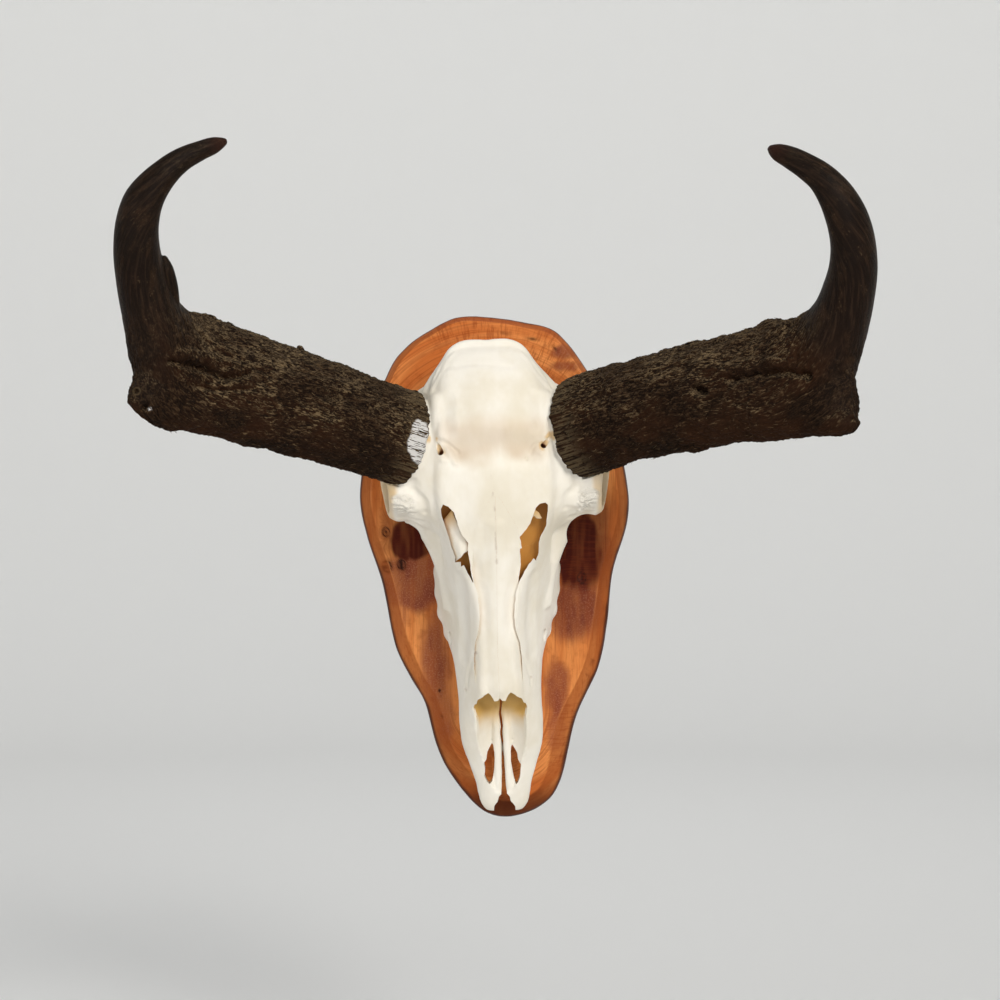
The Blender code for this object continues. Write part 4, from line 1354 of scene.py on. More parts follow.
    def shape(self, horns: Sequence[Rows]) -> Solid:
        """Shape the whole skull.

        Args:
            horns: The middle lines of the horn sheaths.

        Returns:
            The skull, upright, before it is parted.
        """
        skull = self.loft("skull", self.body).combine(self.masses(), Joining.FUSE)
        skull.fuse(self.rough_voxel, 8)
        face = self.face_hollow(skull)
        self.outer = skull.tree
        skull.combine([face, *self.hollows()], Joining.CUT)
        bars = [Solid.rod("bar", self.muzzle_bar, side.value) for side in Side]
        stumps = [self.pedicle(upright(horn)) for horn in horns]
        skull.combine([*self.teeth(), *bars, *stumps], Joining.FUSE)
        skull.fuse(self.voxel, 2)
        self.carve(skull)
        self.open_up(skull)
        skull.combine([self.horn_room(horn) for horn in horns], Joining.CUT)
        return skull.keep_largest()

    def carve(self, skull: Solid) -> None:
        """Carve the strokes and a fine unevenness into the bone.

        Args:
            skull: The whole skull.
        """
        skull.bake()
        tree, points, normals = skull.tree, skull.points, skull.normals
        total = sum(stroke.amounts(points, normals, tree) for stroke in self.strokes)
        total += 0.16 * layered(points, 9.0, 3, 2) + 0.07 * layered(points, (2.2, 2.2, 5.0), 8, 2)
        away = np.linalg.norm(np.abs(points) * (1, 0, 1) - self.knob, axis=1)
        total += rise(8.0, 5.0, away) * (points[:, 1] < -60) * 0.7 * noise(
            points, (2.1, 2.1, 1.6), 15)
        skull.push(total)

    def open_up(self, skull: Solid) -> None:
        """Cut the thin-edged openings: the vacuities, the nose, the fissures, the foramina.

        Args:
            skull: The whole skull.
        """
        tools = []
        for side, outline in self.vacuities.items():
            edge = ragged(outline, 0.28, 2.2, 4, 0.6, closed=True)
            tools.append(Solid.skin("vacuity_" + side.word, [
                [(x, np.interp(z, (-24, 8, 43), (61, 69, 77)), z) for x, z in edge],
                [(x, 120.0, z) for x, z in edge]]))
        half = ragged(self.nose, 0.35, 2.0, 9, 0.6)
        outline = [*half, *(np.array(half)[-2:0:-1] * (-1.0, 1.0))]
        tools.append(Solid.prism("nose", outline, 45, 120))
        for outline in self.fissures.values():
            edge = ragged(outline, 0.16, 2.2, 6, 0.6, closed=True)
            tools.append(Solid.prism("fissure", edge, -5, 60))
        for stations in self.foramina:
            tools.append(Solid.tube("foramen", stations, 1.5, 18))
        skull.combine(tools, Joining.CUT)

    def sink_edges(self, nasal: Solid) -> None:
        """Lower the outer edges of a nasal bone under the plates that meet it.

        Args:
            nasal: The bone.
        """
        points, normals = nasal.points, nasal.normals
        rows = np.array(self.nasal)[::-1]
        edge = np.interp(points[:, 2], rows[:, 0], rows[:, 2])
        share = rise(self.nasal_bevel, 0.0, edge - np.abs(points[:, 0]))
        share *= rise(14.0, 0.0, points[:, 2]) * rise(-74.0, -56.0, points[:, 2])
        share *= np.clip(-2 * normals[:, 1], 0.0, 1.0)
        points[:, 1] += self.nasal_sink * share
        nasal.points = points

    def nasal_room(self, way: float, grow: float) -> Solid:
        """Make the room of one nasal bone, from its underside to well above the face.

        Args:
            way: -1 for the viewer's left, 1 for the right.
            grow: How much larger than the bone the room is.

        Returns:
            The room.
        """
        rows = resample(self.nasal, 1.2, 1)
        where = np.stack((rows[:, 0], np.zeros(len(rows)), np.zeros(len(rows))), axis=1)
        wave = 0.45 * layered(where, 3.2, 21, 2)
        rings = []
        for (z, top, half_width), stray in zip(rows, wave):
            low, outer, inner = top - self.nasal_depth - grow, half_width + stray + grow, \
                0.5 * self.gap - grow
            ring = ((inner, low), (outer, low), (outer, FAR), (inner, FAR))
            rings.append([(way * x, height, z) for x, height in ring])
        rings[0] = [(x, height, z + grow) for x, height, z in rings[0]]
        return Solid.skin("nasal_room", rings)

    def suture_room(self, suture: Rows, far_z: float, shift: float, way: float,
                    slope: float = 0.0) -> Solid:
        """Return all that lies on one side of a suture across the skull.

        Args:
            suture: The suture as seen from the side, as (height, z).
            far_z: How far the room goes.
            shift: How far the suture is moved up.
            way: -1 for the viewer's left, 1 for the right.
            slope: How much the suture rises for each millimetre off the middle.

        Returns:
            The room.
        """
        line = ragged(suture, 0.5, 3.0, 31)
        rings = []
        for x in (-1.0, FAR):
            ring = [(way * x, height, z + shift + slope * x) for height, z in line]
            ring += [(way * x, line[-1][0], far_z), (way * x, line[0][0], far_z)]
            rings.append(ring)
        return Solid.skin("suture_room", rings)

    def cheek_room(self, way: float, grow: float) -> Solid:
        """Make the room of one cheek bone, under the orbit and along the arch.

        Args:
            way: -1 for the viewer's left, 1 for the right.
            grow: How much larger than the bone the room is.

        Returns:
            The room.
        """
        middle = np.mean(self.cheek_suture, axis=0)
        outline = [point + grow * np.sign(point - middle) for point in np.array(self.cheek_suture)]
        line = ragged(outline, 0.5, 3.0, 41, closed=True)
        rings = [[(way * x, height, z) for height, z in line]
                 for x in (self.cheek_inner - grow, FAR)]
        return Solid.skin("cheek_room", rings)

    def side_room(self, way: float, inset: float) -> Solid:
        """Return the half of space on one side of the skull's middle."""
        corners = ((-FAR, -FAR), (-FAR, FAR), (FAR, FAR), (FAR, -FAR))
        return Solid.skin("side", [[(way * x, h, z) for h, z in corners] for x in (inset, FAR)])

    def slit_room(self, way: float) -> Solid:
        """Make what is cut off one premaxilla: the other half, and the slit between them.

        Args:
            way: -1 for the viewer's left, 1 for the right.

        Returns:
            The room.
        """
        rows = np.array(self.slit)
        line = ragged(rows[:, :2], 0.22, 2.4, 51 + int(way), 0.5)
        drift = np.interp(-line[:, 1], -rows[:, 1], rows[:, 2])
        outline = [(way * max(x, 0.5 * self.gap) + stray, z) for (x, z), stray in zip(line, drift)]
        outline += [(-way * FAR, self.slit[-1][1]), (-way * FAR, self.slit[0][1])]
        return Solid.prism("slit", outline, -FAR, FAR)

    def part(self, skull: Solid) -> dict[str, Solid]:
        """Part the skull along its sutures.

        Args:
            skull: The whole skull, which is used up.

        Returns:
            The bones by the name of the node that each stands for.
        """
        half = 0.5 * self.gap
        bones = {"cranium": skull.copy("bone_cranium")}
        rooms = []
        for side in Side:
            way = side.value
            rooms += [self.suture_room(self.face_suture, -FAR, half, way, self.face_slope),
                      self.nasal_room(way, half), self.cheek_room(way, half)]
            for node in ("zygomatic", "maxilla", "premaxilla", "nasal"):
                name = f"{node}_{side.word}"
                bones[name] = skull.copy("bone_" + name)
            cheek, jaw, muzzle, nasal = list(bones.values())[-4:]
            cheek.combine([self.cheek_room(way, -half)], Joining.KEEP)
            jaw.combine([self.side_room(way, half)], Joining.KEEP)
            jaw.combine([self.suture_room(self.face_suture, FAR, -half, way, self.face_slope),
                         self.suture_room(self.muzzle_suture, -FAR, half, way),
                         self.nasal_room(way, half), self.cheek_room(way, half),
                         self.slit_room(way)], Joining.CUT)
            muzzle.combine([self.suture_room(self.muzzle_suture, -FAR, -half, way)], Joining.KEEP)
            muzzle.combine([self.nasal_room(way, half), self.slit_room(way)], Joining.CUT)
            nasal.combine([self.nasal_room(way, -half)], Joining.KEEP)
        bones["cranium"].combine(rooms, Joining.CUT)
        skull.drop()
        return bones

    def stain(self, bone: Solid) -> None:
        """Paint how tan, amber, dark and smooth the bone is at each corner of its triangles, some
        of the tan and dark being painted shade.

        Args:
            bone: The bone, upright.
        """
        data, points = bone.obj.data, bone.points
        seen = points[:, ::2]
        corner = read(data.loops, "vertex_index", 1, np.int32)[:, 0]
        nearest = [self.outer.find_nearest(Vector(point)) for point in points]
        depth = np.array([found[3] for found in nearest])[corner]
        outwards = np.array([found[1] for found in nearest])[corner]
        faces = read(data.polygons, "normal", 3)
        facing = (outwards * np.repeat(faces, 3, axis=0)).sum(axis=1)
        cloud = layered(points, 11.0, 61, 2)[corner]
        x, height, z = points[corner, 0], -points[corner, 1], points[corner, 2]
        # Amber and tan inside the openings
        rims = self.vacuities.values()
        brink = nearest_line(seen, [[*rim, rim[0]] for rim in rims])[corner]
        inside = np.any([within(seen, rim) for rim in rims], axis=0)[corner]
        inner = np.maximum(rise(0.0, -0.5, facing), rise(2.9, 3.8, depth))
        inner *= rise(0.5, 1.5, depth) * (np.abs(x) < 34.5)
        wall = rise(0.5, 0.2, facing) * rise(1.8, 1.0, brink)
        sill = rise(4.0, 2.5, brink) * rise(18.6, 20.0, np.abs(x))
        inner = np.maximum.reduce([inner, wall * rise(0.5, 1.1, depth),
                                   inside * rise(0.5, 1.2, depth),
                                   sill * rise(0.9, 1.4, depth)])
        vault = rise(-70.0, -52.0, z) * rise(50.0, 44.0, z)
        amber = inner * vault * rise(24.0, 34.0, height)
        fade = z + 0.018 * x * x + 2.5 * cloud
        nose = rise(-104.0, -84.0, fade) ** 2 * rise(-50.0, -60.0, z) * (height > 18)
        # Tan stain over the sag of the forehead, the rims of the orbits and the grooves over them;
        # on the rims above the knobs, under the horns, the tan is partly painted shade
        lower = z + 5.0 * cloud
        brow = rise(61.0, 73.0, lower) * rise(97.0, 82.0, lower) * (height > 70)
        brow = brow * rise(37.0, 26.0, np.abs(x)) * (1 + 0.4 * cloud)
        # Above the knobs the tan reaches further in, where the horns shade the rim: painted shade
        beyond = np.abs(x) + 3.0 * rise(45.0, 48.0, z)
        rim = rise(60.0, 63.5, beyond) * rise(20.0, 30.0, z) * (z < 110)
        grooves = [np.array(groove)[:, :3] * FLIP for groove in self.foramina]
        beside = nearest_line(points, [line[:4] for line in grooves])[corner]
        under = nearest_line(points, [line[3:] for line in grooves])[corner]
        upper = rise(60.0, 66.0, height)
        groove = rise(3.6, 2.6, beside) * rise(0.25, 1.0, depth)
        tan = np.maximum.reduce([inner * nose, 0.2 * brow, 0.55 * rim * (1 + 0.4 * cloud),
                                 0.7 * groove * upper])
        # Dark holes, pits and thread of the suture, and painted shade over the sag of the forehead
        stray = nearest_line(seen, [resample(self.thread, 1.5, 2)])
        broken = rise(-0.1, 0.5, layered(points, (2.0, 2.0, 5.0), 67, 2))
        thread = (rise(0.9, 0.1, stray) * broken)[corner] * (height > 60)
        hole = rise(4.0, 3.0, under) * rise(1.6, 3.0, depth) * upper
        spot = nearest_line(seen, [(pit, pit) for pit in self.pits])[corner]
        # The last share is painted shade that darkens the sag of the forehead
        hole = np.maximum.reduce([hole, 0.3 * rise(1.3, 0.4, spot) * (depth < 2.0),
                                  0.3 * thread * (depth < 1.5), 0.19 * brow * (depth < 4.0)])
        away = np.linalg.norm(np.abs(points[corner]) * (1, 0, 1) - self.knob, axis=1)
        rough = rise(8.5, 5.0, away + 2.0 * cloud) * (height > 60)
        bone.paint("stain", np.clip(np.stack((tan, amber, hole, 1 - rough), axis=1), 0.0, 1.0))

    def splinters(self) -> list[Solid]:
        """Make the loose flakes of bone that hang in the vacuities, each a thin bent plate.

        Returns:
            The flakes, upright.
        """
        flakes = []
        for side, (outline, (least, outwards, upwards)) in self.flakes.items():
            edge = ragged(outline, 0.25, 2.4, 14, closed=True)
            flake = Solid.prism("bone_splinter_" + side.word, edge, 0.0, self.splinter)
            flake.fuse(self.splinter_voxel, 3)
            points = flake.points
            for point in points:
                face = self.outer.ray_cast(Vector((point[0], -2 * FAR, point[2])), BACKWARDS)[0]
                point[1] += face.y + least + self.splinter \
                    + outwards * max(0.0, abs(point[0]) - 22.0) \
                    + upwards * max(0.0, point[2] - 12.0)
            flake.points = points
            flake.push(0.22 * layered(points, (3.0, 3.0, 6.0), 33, 2))
            flakes.append(flake)
        return flakes

    def build(self, horns: Sequence[Rows], finish: BoneFinish) -> list[bpy.types.Object]:
        """Build the skull's bones.

        Args:
            horns: The middle lines of the horn sheaths.
            finish: The bones' finish.

        Returns:
            The finished pieces.
        """
        bones = self.part(self.shape(horns))
        material = finish.material()
        for name, bone in bones.items():
            if name.startswith("nasal"):
                self.sink_edges(bone)
            bone.change("TRIANGULATE")
            bone.keep_largest()
            if name == "cranium":
                bone.change("DECIMATE", ratio=self.cranium_detail)
            self.stain(bone)
            settle(bone)
        pieces = [bone.piece(material, "bone", [node]) for node, bone in bones.items()]
        for flake in self.splinters():
            share = rise(23.0, 37.0, flake.points[:, 2])
            flake.paint("stain", np.outer(share, (0.9, 0.15, 0.0, 0.0)) + (0.0, 0.0, 0.0, 1.0))
            settle(flake)
            pieces.append(flake.piece(material, "bone", []))
        return pieces


def upright(stations: Rows) -> list[tuple[float, ...]]:
    """Turn horn stations back from the skull's lean, for work in the skull's own frame.

    Args:
        stations: Rows that begin with a place.

    Returns:
        The turned rows.
    """
    turn = Matrix.Rotation(SKULL_LEAN, 3, "Y")
    pivot = Vector((0.0, 0.0, LEAN_PIVOT_Z))
    return [(*(turn @ (Vector(row[:3]) - pivot) + pivot), *row[3:]) for row in stations]


def settle(solid: Solid) -> None:
    """Bow the face a little, lean the skull and stand it off the wall.

    Args:
        solid: A part of the skull, upright.
    """
    points = solid.points
    away = (points[:, 2] - FACE_BOW_Z) / FACE_BOW_REACH
    points[:, 0] -= FACE_BOW * np.exp(-away * away)
    points[:, 0] -= CROWN_BEND * rise(CROWN_LOW, CROWN_HIGH, points[:, 2])
    solid.points = points
    pivot = Matrix.Translation((0.0, 0.0, LEAN_PIVOT_Z))
    lean = pivot @ Matrix.Rotation(-SKULL_LEAN, 4, "Y") @ pivot.inverted()
    solid.obj.data.transform(Matrix.Translation((0.0, -STAND_OFF, 0.0)) @ lean)


# Horns

class TreeMaker:
    """Builds a Geometry Nodes tree with named inputs and hangs it on a solid."""

    def __init__(self, name: str) -> None:
        """Start a tree with one geometry input and one geometry output.

        Args:
            name: The tree's name.
        """
        self.tree = bpy.data.node_groups.new(name, "GeometryNodeTree")
        for way in ("INPUT", "OUTPUT"):
            self.tree.interface.new_socket("Geometry", in_out=way,
                                           socket_type="NodeSocketGeometry")
        self.graph = Graph(self.tree)
        self.source = self.graph.add("NodeGroupInput")
        self.values: dict[str, Any] = {}

    def input(self, name: str, kind: str, value: Any) -> Any:
        """Add a named input.

        Args:
            name: The input's name.
            kind: Its type: Float, Int or Material.
            value: What the modifier gives it.

        Returns:
            The socket inside the tree.
        """
        socket = self.tree.interface.new_socket(name, in_out="INPUT",
                                                socket_type="NodeSocket" + kind)
        self.values[socket.identifier] = value
        return self.source.outputs[name]

    def named(self, name: str, kind: str) -> Any:
        """Return the socket of one of the mesh's attributes."""
        return self.graph.add("GeometryNodeInputNamedAttribute", {0: name},
                              data_type=kind).outputs[0]

    def store(self, geometry: Any, name: str, value: Any, domain: str) -> Any:
        """Keep a number as an attribute of a geometry.

        Args:
            geometry: The geometry's socket.
            name: The attribute's name.
            value: The number's socket.
            domain: What it is kept for: POINT or INSTANCE.

        Returns:
            The socket of the geometry that has it.
        """
        return self.graph.add("GeometryNodeStoreNamedAttribute", {0: geometry, 2: name, 3: value},
                              data_type="FLOAT", domain=domain).outputs[0]

    def close(self, geometry: Any, material: bpy.types.Material) -> "TreeMaker":
        """End the tree in Realize Instances and Set Material.

        Args:
            geometry: The socket of the finished geometry.
            material: What it is made of.

        Returns:
            The maker itself.
        """
        real = self.graph.add("GeometryNodeRealizeInstances", {0: geometry})
        finish = self.input("Material", "Material", material)
        made = self.graph.add("GeometryNodeSetMaterial", {"Geometry": real.outputs[0],
                                                          "Material": finish})
        self.graph.add("NodeGroupOutput", {0: made.outputs[0]})
        return self

    def run(self, solid: Solid) -> Solid:
        """Put the tree on a solid and make the result its mesh.

        Args:
            solid: The solid.

        Returns:
            The solid itself.
        """
        modifier = solid.obj.modifiers.new(self.tree.name, "NODES")
        modifier.node_group = self.tree
        for identifier, value in self.values.items():
            modifier[identifier] = value
        solid.bake()
        return solid


@dataclass
class HornSheath:
    """One horn sheath, parted at its fork into shaft, prong and tine."""

    side: Side
    stations: Rows
    prong: Rows
    lumps: Sequence[tuple[Rows, ...]] = ()
    strokes: Sequence[Stroke] = ()
    # Bare spots and painted glints, and worn rings round pits, as seen from the front: x, z, radius
    scrapes: Rows = ()
    rings: Rows = ()
    # How much painted shade the whole sheath gets
    gloom: float = 0.0
    voxel: float = 0.72
    gap: float = 0.06
    tine_cut: float = 0.35
    prong_cut: float = 7.0
    fork: int = 6
    lump_depth: float = 2.0
    flake_depth: float = 0.6
    fibre_depth: float = 0.5
    fibre_count: float = 0.07
    fibre_length: float = 2.6
    fibre_thickness: float = 0.13
    fibre_tip: float = 0.04
    fibre_stray: float = 0.45
    bark_seed: int = 11
    fibre_seed: int = 5
    rim_width: float = 20.0
    base_wide: float = 30.0
    base_thin: float = 21.0
    blur: float = 120.0
    batch: int = 20000

    def rule(self) -> tuple[Array, Array, Array, Array]:
        """Measure the middle line.

        Returns:
            Its points, their two cross directions, and how far along it each point lies.
        """
        centres, wide, thin = (rows * FLIP for rows in tube_frames(
            resample(self.stations, 2.0), (0.0, 0.0, 1.0)))
        return centres, wide, thin, lengths(centres)

    def grain(self, points: Array) -> tuple[Array, Array]:
        """Return places across and along the horn, and the direction of its fibres.

        Args:
            points: The horn's points.

        Returns:
            Places (across, across, along) in millimetres, and unit directions.
        """
        centres, wide, thin, knots = self.rule()
        runs = unit(np.gradient(centres, axis=0))
        places, ways = [], []
        for part in np.array_split(points, max(1, len(points) // self.batch)):
            offset = part[:, None] - centres[None]
            square = (offset**2).sum(axis=2)
            weight = np.exp(-(square - square.min(axis=1)[:, None]) / self.blur)
            weight /= weight.sum(axis=1)[:, None]
            place = [(weight * (offset * way).sum(axis=2)).sum(axis=1)
                     for way in (wide, thin, runs)]
            place[2] += weight @ knots
            places.append(np.stack(place, axis=1))
            ways.append(weight @ runs)
        return np.concatenate(places), unit(np.concatenate(ways))

    def bark_tree(self, material: bpy.types.Material) -> TreeMaker:
        """Build the tree that roughens the sheath along its grain.

        Args:
            material: What the sheath is made of.

        Returns:
            The closed tree.
        """
        maker = TreeMaker("bark")
        graph = maker.graph
        lump = maker.input("Lump Depth", "Float", self.lump_depth)
        flake = maker.input("Flake Depth", "Float", self.flake_depth)
        fibre = maker.input("Fibre Depth", "Float", self.fibre_depth)
        seed = maker.input("Seed", "Int", self.bark_seed)
        place = graph.vector("ADD", maker.named("grain", "FLOAT_VECTOR"), seed)

        def pattern(size: float, stretch: float, detail: float) -> Any:
            """Add noise about 0, drawn out along the grain.

            Args:
                size: Size of a lump across the grain, in millimetres.
                stretch: Its size as a share of its length; a small one draws it out.
                detail: How many finer layers are added.

            Returns:
                The socket of the noise.
            """
            drawn = graph.vector("MULTIPLY", place, (1 / size, 1 / size, stretch / size))
            value = graph.add("ShaderNodeTexNoise", {"Vector": drawn, "Scale": 1.0,
                                                     "Detail": detail, "Roughness": 0.55})
            return graph.minus(value.outputs[0], 0.5)

        def creased(value: Any) -> Any:
            """Turn noise about 0 into bulges with creases between them."""
            return graph.minus(graph.math("MINIMUM", graph.math("ABSOLUTE", value), 0.16), 0.07)

        lumps = graph.times(pattern(9.0, 0.6, 3.0), graph.times(lump, 3.0))
        flakes = graph.times(creased(pattern(4.2, 0.45, 3.0)), graph.times(flake, 6.0))
        fibres = graph.times(creased(pattern(1.5, 0.4, 2.0)), graph.times(fibre, 6.0))
        total = graph.times(graph.plus(lumps, graph.plus(flakes, fibres)),
                            maker.named("bark", "FLOAT"))
        relief = graph.plus(graph.plus(graph.times(flakes, 0.7), fibres), 0.5, clamp=True)
        kept = maker.store(maker.source.outputs[0], "relief", relief, "POINT")
        normal = graph.add("GeometryNodeInputNormal").outputs[0]
        moved = graph.add("GeometryNodeSetPosition", {
            "Geometry": kept, "Offset": graph.vector("SCALE", normal, total)})
        return maker.close(moved.outputs[0], material)

    def fibre_tree(self, material: bpy.types.Material) -> TreeMaker:
        """Build the tree that strews loose fibres over the sheath, along its grain.

        Args:
            material: What the fibres are made of.

        Returns:
            The closed tree.
        """
        maker = TreeMaker("fibres")
        graph = maker.graph
        count = maker.input("Count", "Float", self.fibre_count)
        length = maker.input("Length", "Float", self.fibre_length)
        thickness = maker.input("Thickness", "Float", self.fibre_thickness)
        seed = maker.input("Seed", "Int", self.fibre_seed)
        strewn = graph.add("GeometryNodeDistributePointsOnFaces", {
            "Mesh": maker.source.outputs[0], "Seed": seed,
            "Density": graph.times(maker.named("loose", "FLOAT"), count)},
            distribute_method="RANDOM").outputs
        cone = graph.add("GeometryNodeMeshCone", {
            "Vertices": 4, "Side Segments": 2, "Radius Bottom": thickness, "Depth": length,
            "Radius Top": self.fibre_tip}, fill_type="TRIANGLE_FAN")
        # Fibres lie along the run, astray by up to a share, and flat on the surface
        stray = graph.add("FunctionNodeRandomValue", {
            0: (-self.fibre_stray,) * 3, 1: (self.fibre_stray,) * 3, "Seed": seed},
            data_type="FLOAT_VECTOR")
        way = graph.vector("ADD", maker.named("run", "FLOAT_VECTOR"), stray.outputs[0])
        lift = graph.minus(0.0, graph.vector("DOT_PRODUCT", way, strewn["Normal"]))
        way = graph.vector("ADD", way, graph.vector("SCALE", strewn["Normal"], lift))
        turned = graph.add("FunctionNodeAlignRotationToVector", {"Vector": way}, axis="Z")
        size, tint = (graph.add("FunctionNodeRandomValue", {2: low, 3: high, "Seed": number},
                                data_type="FLOAT").outputs[1]
                      for low, high, number in ((0.45, 1.3, seed), (0.0, 1.0, 3)))
        placed = graph.add("GeometryNodeInstanceOnPoints", {
            "Points": strewn["Points"], "Instance": cone.outputs["Mesh"],
            "Rotation": turned.outputs[0], "Scale": size})
        tinted = maker.store(placed.outputs[0], "tint", tint, "INSTANCE")
        return maker.close(tinted, material)

    def sheath(self, material: bpy.types.Material) -> Solid:
        """Make the whole sheath with its rough surface.

        Args:
            material: What it is made of.

        Returns:
            The sheath, before it is parted.
        """
        horn = Solid.tube("horn", self.stations, 3.0, 56)
        extra = [Solid.tube("prong", self.prong, 3.0, 40)]
        extra += [Solid.tube("lump", [(*row, row[3]) for row in lump], 1.5, 16)
                  for lump in self.lumps]
        horn.combine(extra, Joining.FUSE).fuse(self.voxel, 4)
        tree, points, normals = horn.tree, horn.points, horn.normals
        carved = sum(stroke.amounts(points, normals, tree) for stroke in self.strokes)
        horn.push(carved + np.zeros(len(points)))
        self.rough_rim(horn)
        self.paint(horn)
        return self.bark_tree(material).run(horn)

    def rough_rim(self, horn: Solid) -> None:
        """Furrow the sheath's last stretch towards its open end, and make that end uneven.

        Args:
            horn: The whole sheath.
        """
        places, ways = self.grain(horn.points)
        along = places[:, 2]
        angle = np.arctan2(places[:, 1] / self.base_thin, places[:, 0] / self.base_wide)
        ring = np.stack((np.cos(angle) * 24, np.sin(angle) * 24, along * 0.12), axis=1)
        furrows = noise(ring, 1.8, 81) - 0.7 * np.abs(noise(ring, 3.6, 82))
        points = horn.points + horn.normals * (
            1.0 * furrows * rise(self.rim_width, 4.0, along)
            - 0.8 * rise(3.0, 0.0, along))[:, None]
        ring[:, 2] = 0.0
        stray = 1.5 * layered(ring, 7.0, 83, 3) * rise(7.0, 1.0, along)
        horn.points = points + ways * stray[:, None]

    def paint(self, horn: Solid) -> None:
        """Keep the grain, and how barky, scraped and loose the sheath is at each point, and how far
        it faces up for its painted light and shade.

        Args:
            horn: The whole sheath or a part of it.
        """
        points, front = horn.points, horn.normals[:, 1] < 0.2
        places, ways = self.grain(points)
        length = self.rule()[3][-1]
        fork = lengths(np.array(self.stations)[:, :3])[self.fork]
        along = places[:, 2]
        bark = rise(fork + 34.0, fork - 6.0, along + 6 * layered(places, 14.0, 71, 2))
        tip = rise(length - 16.0, length - 2.0, along)
        scrape, tint = np.zeros(len(points)), np.zeros(len(points))
        for x, z, radius in self.scrapes:
            away = spot_distance(points, x, z) + min(1.6, radius) * layered(points, 4.0, 85, 2)
            scrape = np.maximum(scrape, front * rise(radius + 0.5, radius - 0.5, away))
        for x, z, radius in self.rings:
            away = spot_distance(points, x, z)
            tint = np.maximum(tint, front * np.exp(-((away - radius) / 0.5) ** 2))
        # Painted light and shade: high where the sheath faces up, low where it faces down
        up = 0.5 - self.gloom + 0.62 * (horn.normals[:, 2] + 0.3 * layered(places, 16.0, 73, 2))
        blade = np.linalg.norm(points - np.array(self.prong[-1][:3]) * FLIP, axis=1)
        plain = 1 - 0.55 * rise(24.0, 12.0, blade)
        mask = np.stack((0.08 + 0.92 * bark * plain, tip, scrape, up), axis=1)
        for name, values in (
                ("tint", tint), ("grain", places), ("run", -ways),
                ("bark", (0.04 + 0.96 * bark) * (1 - 0.7 * scrape)
                 * (0.25 + 0.75 * rise(2.0, 14.0, along))),
                ("loose", rise(fork + 4.0, fork - 30.0, along)
                 * rise(6.0, 20.0, along) * (1 - scrape)),
                ("horn_mask", np.clip(mask, 0.0, 1.0))):
            horn.paint(name, values)

    def build(self, material: bpy.types.Material) -> list[bpy.types.Object]:
        """Build the sheath's pieces.

        Args:
            material: What the sheath is made of.

        Returns:
            The finished pieces.
        """
        word = self.side.word
        whole = self.sheath(material)
        fork, above = (Vector(row[:3]) for row in self.stations[self.fork:self.fork + 2])
        run = (above - fork).normalized()
        root = fork.lerp(above, self.tine_cut)
        start, end = Vector(self.prong[1][:3]), Vector(self.prong[-1][:3])
        prong_run = (end - start).normalized()
        cut = start + prong_run * self.prong_cut
        half = 0.5 * self.gap
        tine = whole.copy("horn_sheath_tine_" + word)
        tine.combine([Solid.box("room", root + run * half, run)], Joining.KEEP)
        shaft = whole.copy("horn_sheath_shaft_" + word)
        shaft.combine([Solid.box("room", root - run * half, run)], Joining.CUT)
        prong = shaft.copy("horn_sheath_prong_" + word)
        prong.combine([Solid.box("room", cut + prong_run * half, prong_run)], Joining.KEEP)
        shaft.combine([Solid.box("room", cut - prong_run * half, prong_run)], Joining.CUT)
        whole.drop()
        fibres = self.fibre_tree(material).run(shaft.copy("horn_fibres_" + word))
        pieces = []
        for solid, node in ((shaft, "horn_shaft_"), (prong, "horn_prong_"), (tine, "horn_tine_")):
            solid.change("TRIANGULATE").keep_largest()
            self.paint(solid)
            pieces.append(solid.piece(material, "horn", [node + word]))
        return [*pieces, fibres.piece(material, "horn", [])]


# Plaque

